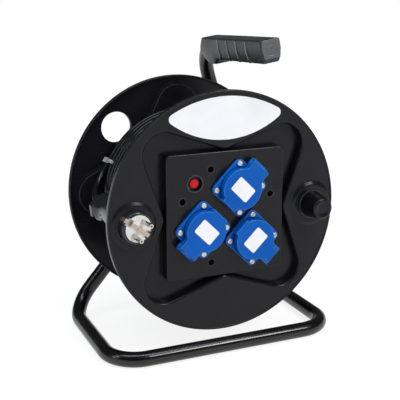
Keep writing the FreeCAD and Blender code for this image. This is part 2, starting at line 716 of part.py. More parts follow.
def flange():
    """The moulding with its face at zero, looking to the front. Its wall lies behind the face."""
    wall = number("flange_wall")
    depth = number("star_depth")
    draft = number("star_draft")
    overrun = number("overrun")
    dia = number("flange_dia")
    width = number("rim_width")
    raised = number("rim_raise")
    turned_back = number("rim_turn")
    bead = disc(dia, -raised, turned_back).cut(disc(dia - 2 * width, -raised, turned_back))
    rings = flat_rings(bead, -raised) + flat_rings(bead, turned_back)
    bead = bead.makeFillet(width * BEAD_ROUND_SHARE, rings)
    shape = disc(dia - width, 0, wall).fuse(bead)
    shape = shape.fuse(star_block(wall, 0, wall - draft, depth + wall))
    slope = draft / depth
    shape = shape.cut(star_block(overrun * slope, -overrun, -draft, depth))
    lip = [edge for edge in shape.Edges
           if all(abs(vertex.Y) < 1e-6 for vertex in edge.Vertexes) and len(edge.Vertexes) == 2]
    shape = shape.makeFillet(number("lip_radius"), lip)
    hole_x, hole_z = polar(number("hole_pitch"), number("hole_angle"))
    shape = shape.fuse([raised_boss(hole_x, hole_z), raised_boss(number("knob_pitch"), 0)])
    through = [disc(number("hole_dia"), -2 * depth, 2 * depth, hole_x, hole_z),
               disc(number("spindle_dia + 2 * seat_gap"), -2 * depth, 2 * depth, number("knob_pitch"))]
    for angle in BARREL_POSTS:
        x, z = polar(number("barrel_post_pitch"), angle)
        through.append(disc(number("barrel_screw_dia + 2 * seat_gap"), 0, 2 * depth, x, z))
    return shape.cut(through)


def socket_places():
    """Middle of each socket and the direction of its hinge, about the drum axis."""
    near = number("socket_near")
    far = number("socket_far")
    corner = number("socket_corner")
    return {"a": (near, far, 45), "b": (-far, -near, 225), "c": (corner, -corner, 135)}


def post_places():
    in_top = number("post_in_top")
    out_top = number("post_out_top")
    in_low = number("post_in_low")
    out_low = number("post_out_low")
    return [(-in_top, out_top), (-out_top, in_top), (out_low, in_low), (-in_low, -out_low)]


def front_flange():
    shape = flange()
    depth = number("star_depth")
    floor_back = number("star_depth + flange_wall")
    post_end = number("panel_screw_length + star_depth")
    posts = [disc(number("post_dia"), depth, post_end, x, z) for x, z in post_places()]
    shape = shape.fuse(posts)
    openings = [disc(number("panel_screw_dia + 2 * seat_gap"), 0, 2 * post_end, x, z)
                for x, z in post_places()]
    room = number("collar_dia + 2 * face_gap")
    for x, z, angle in socket_places().values():
        openings.append(disc(room, 0, 2 * floor_back, x, z))
    corner = number("reset_corner")
    openings.append(disc(number("breaker_side * sqrt(2) + 2 * face_gap"), 0, 2 * floor_back,
                         -corner, corner))
    return solid("front_flange_shape", shape.cut(openings))


def rear_flange():
    shape = flange()
    hub = disc(number("hub_boss_dia"), number("hub_front_drop"), number("star_depth + flange_wall"))
    shape = shape.fuse(hub)
    bore = disc(number("bush_dia + 2 * seat_gap"), 0, 2 * number("star_depth"))
    return solid("rear_flange_shape", shape.cut(bore))


def rear_place():
    """The rear flange looks back and is turned so that its lobes lie between the front ones."""
    half_turn = turn_about(UP, 180)
    turn = turn_about(BACK, -REAR_TURN)
    return shift(0, number("drum_width"), 0).multiply(turn).multiply(half_turn)


BARREL_FRONT = "star_depth + flange_wall"
BARREL_BACK = "drum_width - star_depth - flange_wall"
GLAND_ANGLE = 270
GLAND_Y = "star_depth + flange_wall + terminal_depth / 2"


def barrel():
    front = number(BARREL_FRONT)
    back = number(BARREL_BACK)
    outer = number("barrel_dia")
    shape = disc(outer, front, back)
    hollow = disc(outer - 2 * number("barrel_wall"), front, back)
    posts = []
    bores = []
    for angle in BARREL_POSTS:
        x, z = polar(number("barrel_post_pitch"), angle)
        posts.append(disc(number("barrel_post_dia"), front, back, x, z))
        bores.append(disc(number("barrel_screw_dia + 2 * seat_gap"), front, back, x, z))
    shape = shape.cut(hollow).fuse([post.common(disc(outer, front, back)) for post in posts])
    gland = Part.makeCylinder(number("gland_dia / 2 + seat_gap"), outer,
                              V(0, number(GLAND_Y), 0), around(1, GLAND_ANGLE, 0))
    return solid("barrel_shape", shape.cut(bores + [gland]))


def barrel_screws():
    """One screw at each end of each post, its head on the star floor."""
    screws = []
    head = number("screw_head_height")
    length = number("barrel_screw_length")
    wall = number("flange_wall")
    for end, inward in ((number("star_depth"), 1), (number("drum_width - star_depth"), -1)):
        for angle in BARREL_POSTS:
            start = around(number("barrel_post_pitch"), angle, end)
            axis = BACK * inward
            shank = Part.makeCylinder(number("barrel_screw_dia / 2"), length + wall, start, axis)
            cap = Part.makeCylinder(number("screw_head_dia / 2"), head, start, axis * -1)
            screws.append(shank.fuse(cap))
    return solid("barrel_screws_shape", Part.makeCompound(screws))


# Front panel with its screws

def panel():
    half = "panel_side / 2"
    face = "-panel_proud"
    corners = [("-" + half, "-" + half), (half, "-" + half), (half, half), ("-" + half, half)]
    body = slab("panel_body", "XZ_Plane", corners, "-star_depth", "star_depth + panel_proud")
    round_edges(body, "panel_corner", lambda edge: spans(edge, BACK) > number("panel_wall"))
    front = -number("panel_proud")
    round_edges(body, "panel_edge",
                lambda edge: all(abs(vertex.Y - front) < 1e-6 for vertex in edge.Vertexes))
    inside = "panel_side / 2 - panel_wall"
    hollow = block("panel_hollow", ("-(%s)" % inside, inside),
                   (face + " + panel_wall", "star_depth + overrun"), ("-(%s)" % inside, inside))
    posts = []
    wells = []
    for index, (x, z) in enumerate(post_places()):
        place = {"x": str(x), "z": str(z)}
        posts.append(rod("panel_post_%d" % index, "post_dia / 2", face + " + panel_wall / 2",
                         "star_depth + panel_proud - panel_wall / 2", **place))
        wells.append(rod("panel_well_%d" % index, "post_well_dia / 2", face + " - overrun",
                         "star_depth + panel_proud + overrun - post_seat", **place))
        wells.append(rod("panel_thread_%d" % index, "panel_screw_dia / 2 + seat_gap", face,
                         "2 * star_depth", **place))
    for name, (x, z, angle) in socket_places().items():
        place = {"x": str(x), "z": str(z)}
        wells.append(rod("panel_socket_" + name, "collar_dia / 2 + face_gap", face + " - overrun",
                         "2 * star_depth", **place))
        for side_x in (-1, 1):
            for side_z in (-1, 1):
                reach = number("socket_screw_pitch / sqrt(2)")
                turn = math.degrees(math.atan2(side_z, side_x)) - angle
                across, up = polar(reach, turn)
                wells.append(rod("panel_pilot", "socket_screw_dia / 2 + seat_gap",
                                 face + " - overrun", "panel_wall + 2 * overrun",
                                 x=str(x + across), z=str(z + up)))
    corner = {"x": "-reset_corner", "z": "reset_corner"}
    wells.append(rod("panel_reset", "reset_neck_dia / 2 + seat_gap", face + " - overrun",
                     "panel_wall + 2 * overrun", **corner))
    shell = cut("panel_shell", body, [hollow])
    return cut("panel_shape", joined("panel_posts", [shell] + posts), wells)


def panel_screws():
    screws = []
    seat = number("star_depth - post_seat")
    height = number("panel_screw_head / 3")
    for x, z in post_places():
        head = disc(number("panel_screw_head"), seat - height, seat, x, z)
        head = head.cut(disc(number("panel_screw_head / 3"), seat - height, seat - height / 2, x, z))
        thread = disc(number("panel_screw_dia"), seat, seat + number("panel_screw_length"), x, z)
        screws.append(head.fuse(thread))
    return solid("panel_screws_shape", Part.makeCompound(screws))


# Sockets: each piece is built once about the well's middle on the panel's face, with its hinge
# towards +Z, and placed three times

HEAD_ROUND_SHARE = 0.6
COLLAR_TOP = "-collar_raise"
INSERT_FACE = "well_depth - collar_raise"
CLIP_INNER = "well_dia / 2 - clip_inset - clip_thick"


def screw_corners():
    half = number("socket_screw_pitch / 2")
    return [(-half, -half), (half, -half), (half, half), (-half, half)]


def socket_base():
    half = "socket_side / 2"
    corners = [("-" + half, "-" + half), (half, "-" + half), (half, half), ("-" + half, half)]
    plate = slab("socket_plate_body", "XZ_Plane", corners, "0", "socket_plate")
    round_edges(plate, "socket_corner_radius", lambda edge: spans(edge, BACK) > 1e-6)
    collar = rod("socket_collar", "collar_dia / 2", COLLAR_TOP, "collar_raise + base_depth")
    well = rod("socket_well", "well_dia / 2", COLLAR_TOP + " - overrun",
               "collar_raise + overrun + base_depth - base_floor")
    foot = block("socket_lug_foot", ("-lug_width / 2", "lug_width / 2"), ("-pin_rise", "0"),
                 ("lug_in", "pin_out - lug_dia / 6"))
    eye = rod("socket_lug_eye", "lug_dia / 2", "-lug_width / 2", "lug_width",
              y="-pin_rise", z="pin_out", along="X")
    bore = rod("socket_lug_bore", "pin_dia / 2 + seat_gap", "-lug_width", "2 * lug_width",
               y="-pin_rise", z="pin_out", along="X")
    holes = [rod("socket_hole", "socket_screw_dia / 2 + seat_gap", "-2 * socket_plate",
                 "3 * socket_plate", x=str(x), z=str(z)) for x, z in screw_corners()]
    body = joined("socket_base_solid", [plate, collar, foot, eye])
    return cut("socket_base_shape", body, [well, bore] + holes)


def socket_insert():
    face = INSERT_FACE
    thick = "base_depth - base_floor - (%s)" % face
    body = rod("insert_body", "well_dia / 2 - seat_gap", face, thick)
    cuts = []
    for x in ("-contact_pitch / 2", "contact_pitch / 2"):
        cuts.append(rod("insert_hole", "contact_dia / 2 + seat_gap", face + " - overrun",
                        "2 * well_depth", x=x))
    half = "clip_width / 2 + seat_gap"
    inner = "%s - seat_gap" % CLIP_INNER
    outer = "well_dia / 2 + clip_thick"
    for z in ((inner, outer), ("-(%s)" % outer, "-(%s)" % inner)):
        cuts.append(block("insert_notch", ("-(%s)" % half, half),
                          (face + " - overrun", "2 * well_depth"), z))
    return cut("socket_insert_shape", body, cuts)


def contacts():
    start = INSERT_FACE + " + clip_thick"
    length = "base_depth - base_floor - (%s)" % start
    tubes = []
    for side in ("-", ""):
        x = side + "contact_pitch / 2"
        tube = rod("contact_tube", "contact_dia / 2", start, length, x=x)
        bore = rod("contact_bore_cut", "contact_bore / 2", start, length, x=x)
        tubes.append(cut("contact", tube, [bore]))
    return tubes


def earth_clips():
    clips = []
    outer = CLIP_INNER + " + clip_thick"
    for z in ((CLIP_INNER, outer), ("-(%s)" % outer, "-(%s)" % CLIP_INNER)):
        clips.append(block("earth_clip", ("-clip_width / 2", "clip_width / 2"),
                           (INSERT_FACE + " - clip_rise", "base_depth - base_floor"), z))
    return clips


def socket_screws():
    """Slotted domed screws in the corners of a socket's flange."""
    screws = []
    top = -number("socket_plate")
    height = number("socket_head_height")
    dia = number("socket_screw_head")
    slot = number("socket_slot")
    for x, z in screw_corners():
        head = disc(dia, top - height, top, x, z)
        head = head.makeFillet(height * HEAD_ROUND_SHARE, flat_rings(head, top - height))
        groove = Part.makeBox(dia, height / 2, slot, V(x - dia / 2, top - height, z - slot / 2))
        shank = disc(number("socket_screw_dia"), top, number("panel_wall + overrun"), x, z)
        screws.append(head.cut(groove).fuse(shank))
    return solid("socket_screws_shape", Part.makeCompound(screws))


LID_TOP = "-lid_top"
LID_BOTTOM = "-socket_plate - lid_gap"
CAVITY_TOP = "lid_roof - lid_top"


def lid_corners():
    """Wedges whose hollow sides lead from the round part of a lid into its hinge block."""
    height = "lid_top - socket_plate - lid_gap"
    share = "(lid_dia / (lid_dia + 2 * lid_bend))"
    out = "(hinge_width / 2 + lid_bend)"
    along = "sqrt((lid_dia / 2 + lid_bend) ^ 2 - %s ^ 2)" % out
    wedges = []
    for side in ("-", ""):
        across = [side + "(hinge_width / 2 - overrun)", side + "(%s * %s)" % (out, share)]
        if side:
            across.reverse()
        wedge = block("lid_wedge", across, (LID_TOP, LID_BOTTOM), ("%s * %s" % (along, share), along))
        hollow = rod("lid_wedge_hollow", "lid_bend", LID_TOP + " - overrun",
                     height + " + 2 * overrun", x=side + out, z=along)
        wedges.append(cut("lid_wedge_shape", wedge, [hollow]))
    return wedges


def thumb_grooves():
    """Two short grooves in each outer corner of a lid's hinge block."""
    grooves = []
    for side in (-1, 1):
        for index in range(2):
            middle = "%d * (hinge_width / 2 - (%d) * thumb_pitch)" % (side, index + 1)
            grooves.append(block("lid_groove",
                                 (middle + " - thumb_groove / 2", middle + " + thumb_groove / 2"),
                                 (LID_TOP + " - overrun", LID_TOP + " + thumb_depth"),
                                 ("hinge_out - thumb_length", "hinge_out + overrun")))
    return grooves


def lid():
    height = "lid_top - socket_plate - lid_gap"
    round_part = rod("lid_round", "lid_dia / 2", LID_TOP, height)
    lip = block("lid_finger_lip", ("-lid_lip_width / 2", "lid_lip_width / 2"),
                (LID_TOP, LID_BOTTOM), ("-lid_lip", "0"))
    outer = "pin_out + knuckle_dia / 2"
    profile = [("-lid_top", "socket_side / 4"), ("-lid_top", "hinge_out"),
               ("hinge_drop - lid_top", outer), ("-pin_rise", outer), ("-pin_rise", "pin_out"),
               (LID_BOTTOM, "pin_out"), (LID_BOTTOM, "socket_side / 4")]
    hinge = slab("lid_hinge_block", "YZ_Plane", profile, "-hinge_width / 2", "hinge_width")
    knuckle = rod("lid_knuckle", "knuckle_dia / 2", "-hinge_width / 2", "hinge_width",
                  y="-pin_rise", z="pin_out", along="X")
    body = joined("lid_solid", [round_part, lip, hinge, knuckle] + lid_corners())
    cavity = rod("lid_cavity", "lid_dia / 2 - lid_wall", CAVITY_TOP, "lid_top")
    slot_half = "slot_width / 2"
    slot = block("lid_slot", ("-" + slot_half, slot_half), (CAVITY_TOP, "0"),
                 ("well_dia / 2 - lid_lip / 5", "pin_out + lug_dia / 2 + running_gap + face_gap"))
    tail = block("lid_slot_tail", ("-" + slot_half, slot_half), ("hinge_drop - lid_top", "0"),
                 ("pin_out + lug_dia / 2 - face_gap", outer + " + overrun"))
    bore = rod("lid_bore", "pin_dia / 2 + running_gap", "-pin_length / 2 - seat_gap",
               "pin_length + 2 * seat_gap", y="-pin_rise", z="pin_out", along="X")
    return cut("lid_shape", body, [cavity, slot, tail, bore] + thumb_grooves())


def lid_spring():
    """Two close wound closing springs on the pin, one on each side of the lug."""
    springs = []
    gap = "lug_width / 2 + face_gap"
    length = "slot_width / 2 - lug_width / 2 - 2 * face_gap"
    for side, start in (("left", "-(%s) - (%s)" % (gap, length)), ("right", gap)):
        place = {"y": "-pin_rise", "z": "pin_out", "along": "X"}
        coil = rod("spring_" + side, "spring_outer / 2", start, length, **place)
        hollow = rod("spring_hollow_" + side, "spring_inner / 2", start, length, **place)
        springs.append(cut("spring_coil_" + side, coil, [hollow]))
    return springs


def sockets():
    base = socket_base()
    insert = socket_insert()
    tubes = contacts()
    clips = earth_clips()
    screws = socket_screws()
    cover = lid()
    coils = lid_spring()
    pin = rod("hinge_pin_rod", "pin_dia / 2", "-pin_length / 2", "pin_length",
              y="-pin_rise", z="pin_out", along="X")
    ring = rod("gasket_disc", "lid_dia / 2 - lid_wall - running_gap", CAVITY_TOP, "gasket_thick")
    opening = rod("gasket_hole", "well_dia / 2 - lid_wall", CAVITY_TOP, "gasket_thick")
    gasket = cut("gasket_shape", ring, [opening])
    across = "sticker_long / 2"
    up = "sticker_wide / 2"
    corners = [("-" + across, "-" + up), (across, "-" + up), (across, up), ("-" + across, up)]
    sticker = slab("sticker_sheet", "XZ_Plane", corners, "lid_top", "sticker_thick")
    round_edges(sticker, "sticker_corner", lambda edge: spans(edge, BACK) > 1e-6)
    front = -number("panel_proud")
    for name, (x, z, angle) in socket_places().items():
        place = shift(x, front, z).multiply(turn_about(BACK, angle))
        node("socket_base_" + name, [base], place)
        node("socket_insert_" + name, [insert], place)
        node("contacts_" + name, tubes, place)
        node("earth_clips_" + name, clips, place)
        node("socket_screws_" + name, [screws], place)
        node("hinge_pin_" + name, [pin], place)
        node("lid_spring_" + name, coils, place)
        node("lid_" + name, [cover], place)
        node("lid_gasket_" + name, [gasket], place)
        node("lid_sticker_" + name, [sticker], place)


# Thermal cut-out with its reset button

def breaker():
    place = {"x": "-reset_corner", "z": "reset_corner"}
    top = "-panel_proud - reset_ring_raise"
    seat = "reset_sunk - panel_proud + reset_travel"
    ring = rod("reset_ring", "reset_ring_dia / 2", top, "reset_ring_raise", **place)
    neck = rod("reset_neck", "reset_neck_dia / 2", top, "%s - (%s) + reset_floor" % (seat, top),
               **place)
    recess = rod("reset_recess", "reset_well_dia / 2", top + " - overrun",
                 "%s - (%s) + overrun" % (seat, top), **place)
    guide = rod("reset_guide", "reset_dia / 2 + running_gap", top, "breaker_depth", **place)
    node("breaker_collar", [cut("breaker_collar_shape", joined("reset_collar", [ring, neck]),
                                [recess, guide])])
    body_front = "%s + reset_floor" % seat
    half = "breaker_side / 2"
    case = block("breaker_case", ("-reset_corner - " + half, "-reset_corner + " + half),
                 (body_front, body_front + " + breaker_depth"),
                 ("reset_corner - " + half, "reset_corner + " + half))
    chamber = rod("breaker_chamber", "reset_foot_dia / 2 + face_gap", body_front,
                  "reset_foot + reset_travel + 2 * face_gap", **place)
    node("breaker_body", [cut("breaker_body_shape", case, [chamber])])
    face = "reset_sunk - panel_proud"
    foot_start = "%s + reset_travel + face_gap" % body_front
    button = rod("reset_button_rod", "reset_dia / 2", face, "%s - (%s) + reset_foot / 2" % (
        foot_start, face), **place)
    foot = rod("reset_button_foot", "reset_foot_dia / 2", foot_start, "reset_foot", **place)
    node("reset_button", [joined("reset_button_shape", [button, foot])])


# Winding knob on the front flange

def knob():
    root = "boss_raise + face_gap"
    outline = [
        ("knob_rim_dia / 2", "-(%s)" % root),
        ("knob_rim_dia / 2", "-(%s + knob_rim)" % root),
        ("knob_root_dia / 2", "-(%s + knob_rim)" % root),
        ("knob_end_dia / 2", "-knob_reach"),
        ("knob_end_dia / 2 - knob_edge", "-knob_reach"),
        ("knob_end_dia / 3 - knob_edge", "knob_dish - knob_reach"),
        ("0", "knob_dish - knob_reach"),
        ("0", "-spindle_reach - face_gap"),
        ("spindle_dia / 2 + running_gap", "-spindle_reach - face_gap"),
        ("spindle_dia / 2 + running_gap", "-(%s)" % root),
    ]
    body = turned("knob_body", outline)
    end = -number("knob_reach")
    round_edges(body, "knob_edge", lambda edge: abs(edge.BoundBox.YMin - end) < 1e-3
                and abs(edge.BoundBox.YMax - end) < 1e-3
                and edge.BoundBox.XLength > number("knob_end_dia - knob_edge"))
    place = shift(number("knob_pitch"), 0, 0)
    node("knob", [body], place)
    shank = rod("spindle_shank", "spindle_dia / 2", "-spindle_reach",
                "spindle_reach + flange_wall")
    head = rod("spindle_plate", "spindle_head_dia / 2", "flange_wall", "spindle_head")
    node("knob_spindle", [joined("knob_spindle_shape", [shank, head])], place)


# Winding, cord and plug

def wound_points():
    """Points and headings of the outer layer, a quarter turn apart, up to the tied end."""
    pitches = [number("tied_pitch")] * TIED_QUARTERS
    pitches += [number("loose_pitch")] * (LOOSE_QUARTERS - TIED_QUARTERS)
    pitches += [number("wind_pitch")] * (WOUND_QUARTERS - LOOSE_QUARTERS)
    back = number("drum_width - wind_back")
    places = []
    for quarter in range(WOUND_QUARTERS + 1):
        low_share = min(max((quarter - CLIMBED_QUARTER) / CLIMB_QUARTERS, 0), 1)
        radius = number("wind_dia / 2") - low_share * number("layer_drop")
        places.append((radius, TIED_ANGLE - 90 * quarter, back))
        if quarter < WOUND_QUARTERS:
            back -= pitches[quarter] / 4
    places.reverse()
    points = []
    for index, (radius, angle, back) in enumerate(places):
        before = places[max(index - 1, 0)]
        after = places[min(index + 1, len(places) - 1)]
        quarters = 2 if 0 < index < len(places) - 1 else 1
        heading = around(radius * math.pi / 2, angle + 90, (after[2] - before[2]) / quarters)
        heading += around((after[0] - before[0]) / quarters, angle, 0)
        points.append((around(radius, angle, back), heading.normalize()))
    points[-1] = (points[-1][0], around(1, TIED_ANGLE + 90, 0))
    return points


def winding_path():
    points = wound_points()
    straight = number("cord_dia")
    first, heading = points[0]
    last, leaving = points[-1]
    edges = [Part.LineSegment(first - heading * straight, first).toShape()]
    for (start, out), (end, arriving) in zip(points, points[1:]):
        edges += biarc(start, out, end, arriving)
    edges.append(Part.LineSegment(last, last + leaving * straight).toShape())
    return Part.Wire(edges)


def lead_start():
    last, leaving = wound_points()[-1]
    return last + leaving * number("cord_dia"), leaving


def plug_axis():
    return V(PLUG_AXIS_SHARES).normalize()


def plug_face():
    """Middle of the plug's face: its axis crosses the flange's face a little off the hole."""
    across, up = polar(number("hole_pitch"), number("hole_angle"))
    crossing = V(across, 0, up)
    axis = plug_axis()
    return crossing - axis * (number("plug_ahead") / axis.y)


def lead_points():
    start, leaving = lead_start()
    dia = number("cord_dia")
    end = plug_face() + plug_axis() * number("plug_length")
    first = start + leaving * (dia * LEAD_FIRST_DIAMETERS)
    last = end + plug_axis() * (dia * LEAD_LAST_DIAMETERS)
    way = last - first
    inner = [first + V(way.x * share.x, way.y * share.y, way.z * share.z) for share in LEAD_SHARES]
    return [start, first, *inner, last, end]


def winding():
    path = winding_path()
    shape = pipe(path, number("cord_dia / 2"))
    report_volume("winding", shape, path)
    return solid("cord_winding_shape", shape)


def lead():
    points = lead_points()
    path = bent_path(points, cord_bends(points))
    shape = pipe(path, number("cord_dia / 2"))
    print("lead bend radii", [round(bend, 1) for bend in cord_bends(points)])
    print("lead runs", [round((b - a).Length, 1) for a, b in zip(points, points[1:])])
    report_volume("lead", shape, path)
    return solid("cord_lead_shape", shape)


def report_volume(name, shape, path):
    section = math.pi * number("cord_dia / 2") ** 2
    print(name, "length", round(path.Length, 1), "volume over section times length",
          round(shape.Volume / (section * path.Length), 5))


def report_winding_gap():
    """Least distance of the winding to itself, on points of two turns next to each other."""
    spots = winding_path().discretize(Number=WOUND_QUARTERS * SPOTS_A_QUARTER)
    ahead = 4 * SPOTS_A_QUARTER
    around_it = SPOTS_A_QUARTER // 3
    least = min((spot - other).Length for index, spot in enumerate(spots)
                for other in spots[index + ahead - around_it:index + ahead + around_it])
    print("winding gap to itself", round(least - number("cord_dia"), 3))


def tie_frame():
    """Both tied strands: the lead's, the winding's beside it, and the way along them."""
    start, leaving = lead_start()
    lead_middle = start + leaving * number("tie_from")
    angle = math.degrees(math.atan2(lead_middle.z, lead_middle.x))
    share = ((angle - TIED_ANGLE) % 360) / 360
    depth = number("drum_width - wind_back - tied_pitch") + share * number("tied_pitch")
    return lead_middle, around(number("wind_dia / 2"), angle, depth), leaving


def band(grow, width):
    """A solid round both tied strands, let out from the cord and as wide as asked."""
    upper, lower, along = tie_frame()
    radius = number("cord_dia / 2") + grow
    start = along * (-width / 2)
    across = upper - lower
    side = across.cross(along).normalize()
    corners = [upper + side * radius, lower + side * radius,
               lower - side * radius, upper - side * radius]
    middle = Part.Face(Part.makePolygon([corner + start for corner in corners + corners[:1]]))
    shape = middle.extrude(along * width)
    rounds = [Part.makeCylinder(radius, width, spot + start, along) for spot in (upper, lower)]
    return shape.fuse(rounds).removeSplitter()


def cable_tie():
    play = number("tie_play")
    thick = number("tie_thick")
    width = number("tie_width")
    loop = band(play + thick, width).cut(band(play, 2 * width))
    upper, lower, along = tie_frame()
    outward = around(1, math.degrees(math.atan2(lower.z, lower.x)), 0)
    across = (upper - lower).normalize()
    size = number("tie_head")
    spot = (upper + lower) * 0.5 + outward * number("cord_dia / 2 + tie_play + tie_thick / 2")
    corner = spot - along * (size / 2) - across * (size / 2)
    foot = [corner, corner + along * size, corner + along * size + across * size,
            corner + across * size, corner]
    head = Part.Face(Part.makePolygon(foot)).extrude(outward * number("tie_head_height"))
    return solid("cable_tie_shape", loop.fuse(head).removeSplitter())


def core():
    """The inner layers as one plain ring, with a step where the outer layer climbs on to it."""
    front = number(BARREL_FRONT + " + core_play")
    back = number(BARREL_BACK + " - core_play")
    shape = disc(number("core_dia"), number("core_step"), back)
    shape = shape.fuse(disc(number("core_dia - 2 * layer_drop"), front, back))
    shape = shape.cut(disc(number("barrel_dia + 2 * face_gap"), front, back))
    first, heading = wound_points()[0]
    dia = number("cord_dia")
    start = first - heading * dia
    outward = V(first.x, 0, first.z).normalize()
    side = outward.cross(heading)
    corner = start - outward * dia - side * (dia / 2)
    tall = dia + dia / 2
    foot = [corner, corner + outward * tall, corner + outward * tall + side * dia,
            corner + side * dia, corner]
    step = Part.Face(Part.makePolygon(foot)).extrude(heading * -tall)
    room = band(number("2 * tie_play + tie_thick"), number("tie_width + 2 * tie_play"))
    tail_hole = Part.makeCylinder(number("cord_dia / 2"), number("core_dia"),
                                  V(0, number(GLAND_Y), 0), around(1, GLAND_ANGLE, 0))
    tail_hole = tail_hole.common(disc(number("barrel_dia + cord_dia"), front, back))
    return solid("cord_core_shape", shape.fuse(step).cut([room, tail_hole]).removeSplitter())


def cord_inside():
    """The cord's inner end, from the core through the barrel's gland to the terminal block."""
    y = GLAND_Y
    end = "-barrel_dia / 2 - cord_dia / 2 + face_gap"
    node("cord_tail", [rod("cord_tail_rod", "cord_dia / 2", end,
                           "barrel_dia / 2 + cord_dia / 2 - face_gap - terminal_top - terminal_height",
                           y=y, along="Z")], on_cord=True)
    start = "-barrel_dia / 2 + running_gap"
    length = "barrel_wall + gland_depth"
    sleeve = rod("gland_sleeve", "gland_dia / 2", start, length, y=y, along="Z")
    bore = rod("gland_bore", "cord_dia / 2 + seat_gap", start, length, y=y, along="Z")
    node("cord_gland", [cut("cord_gland_shape", sleeve, [bore])])
    half = "terminal_width / 2"
    front = "star_depth + flange_wall"
    node("terminal_block", [block("terminal_case", ("-" + half, half),
                                  (front, front + " + terminal_depth"),
                                  ("-terminal_top - terminal_height", "-terminal_top"))])


def plug_place():
    tilt = FreeCAD.Rotation(BACK, plug_axis())
    roll = FreeCAD.Rotation(BACK, -number("plug_turn"))
    return FreeCAD.Placement(plug_face(), tilt.multiply(roll))


def plug():
    """A straight moulded plug about its own axis, its face at zero and its pins to the front."""
    collar_start = "plug_length - plug_collar"
    outline = [
        ("0", "0"),
        ("plug_dia / 2", "0"),
        ("plug_dia / 2", "plug_straight"),
        ("plug_waist_dia / 2", "plug_waist_from"),
        ("plug_waist_dia / 2", "plug_waist_end"),
        ("plug_waist_dia / 2 + plug_collar / 2", collar_start),
        ("0", collar_start),
    ]
    body = turned("plug_turned", outline)
    round_edges(body, "plug_edge", lambda edge: edge.BoundBox.YMax < 1e-3)
    collar = doc.addObject("Part::Prism", "plug_collar_prism")
    collar.Polygon = 8
    collar.Placement = turn_about(RIGHT, -90).multiply(turn_about(UP, 180 / collar.Polygon))
    bind(collar, Circumradius="plug_collar_dia / 2", Height="plug_collar",
         Placement__Base__y=collar_start)
    grooves = []
    for side in ("-", ""):
        for axis in ("x", "z"):
            reach = (side + "plug_collar_dia / 2 - plug_collar / 3",
                     side + "plug_collar_dia / 2 + plug_collar / 3")
            wide = ("-plug_collar / 2", "plug_collar / 2")
            x, z = (reach, wide) if axis == "x" else (wide, reach)
            grooves.append(block("plug_collar_groove", x, (collar_start + " - overrun",
                                                          "plug_length + overrun"), z))
    socket = rod("plug_recess", "plug_insert_dia / 2 + seat_gap", "-overrun",
                 "plug_insert_depth + overrun")
    place = plug_place()
    notched = cut("plug_notched_collar", collar, grooves)
    shell = joined("plug_solid", [body, notched])
    node("plug_body", [cut("plug_body_shape", shell, [socket] + strap_rooms("body"))], place,
         on_cord=True)
    insert = rod("plug_insert_disc", "plug_insert_dia / 2", "0", "plug_insert_depth")
    pins = []
    rooms = strap_rooms("insert")
    for side in ("-", ""):
        x = side + "contact_pitch / 2"
        pin = rod("plug_pin", "plug_pin_dia / 2", "-plug_pin_length",
                  "plug_pin_length + plug_insert_depth", x=x)
        bore = rod("plug_pin_bore", "plug_pin_bore / 2", "-plug_pin_length - overrun",
                   "plug_pin_bore_depth + overrun", x=x)
        pins.append(cut("plug_pin_hollow", pin, [bore]))
        rooms.append(rod("plug_pin_room", "plug_pin_dia / 2 + seat_gap", "-overrun",
                         "2 * plug_insert_depth", x=x))
    node("plug_insert", [cut("plug_insert_shape", insert, rooms)], place, on_cord=True)
    node("plug_pins", pins, place, on_cord=True)
    node("plug_earth", [earth_strap()], place, on_cord=True)


def strap_rooms(owner):
    """Notches for both ends of the plug's earth strap, and slots for its legs."""
    rooms = []
    for side in ("", "-"):
        far = side + "(plug_dia / 2 + overrun)"
        notch = [side + "(plug_strap_half - plug_strap_thick - seat_gap)", far]
        slot = [side + "(plug_strap_reach - plug_strap_thick - seat_gap)", far]
        if side:
            notch.reverse()
            slot.reverse()
        rooms.append(block("plug_strap_notch_" + owner, ("-plug_notch / 2", "plug_notch / 2"),
                           ("-overrun", "plug_strap_drop + plug_strap_thick"), notch))
        rooms.append(block("plug_strap_slot_" + owner,
                           ("-plug_strap_width / 2 - seat_gap", "plug_strap_width / 2 + seat_gap"),
                           ("0", "plug_strap_leg + seat_gap"), slot))
    return rooms


def earth_strap():
    """The strap across the plug's face, stepped down at both ends to legs along the sides."""
    across = ("-plug_strap_width / 2", "plug_strap_width / 2")
    pieces = [block("plug_strap", across, ("-plug_strap_thick", "0"),
                    ("-plug_strap_half", "plug_strap_half")),
              rod("plug_rivet", "plug_rivet_dia / 2", "-2 * plug_strap_thick", "2 * plug_strap_thick")]
    low = ("plug_strap_drop", "plug_strap_drop + plug_strap_thick")
    for side in ("", "-"):
        step = [side + "(plug_strap_half - plug_strap_thick)", side + "plug_strap_half"]
        shoulder = [side + "(plug_strap_half - plug_strap_thick)", side + "plug_strap_reach"]
        leg = [side + "(plug_strap_reach - plug_strap_thick)", side + "plug_strap_reach"]
        if side:
            for span in (step, shoulder, leg):
                span.reverse()
        pieces.append(block("plug_strap_step", across, ("-plug_strap_thick", low[1]), step))
        pieces.append(block("plug_strap_shoulder", across, low, shoulder))
        pieces.append(block("plug_strap_side", across, ("plug_strap_drop", "plug_strap_leg"), leg))
    return joined("plug_earth_shape", pieces)


def label():
    """A bare label on the front flange, between two arcs."""
    thick = number("sticker_thick")
    upper = disc(number("label_top_dia"), -thick, 0)
    lower = disc(number("label_low_dia"), -thick, 0, 0, number("label_foot + label_low_dia / 2"))
    shape = upper.common(lower)
    tips = [edge for edge in shape.Edges if spans(edge, BACK) > thick / 2]
    return solid("flange_label_shape", shape.makeFillet(number("label_tip"), tips))


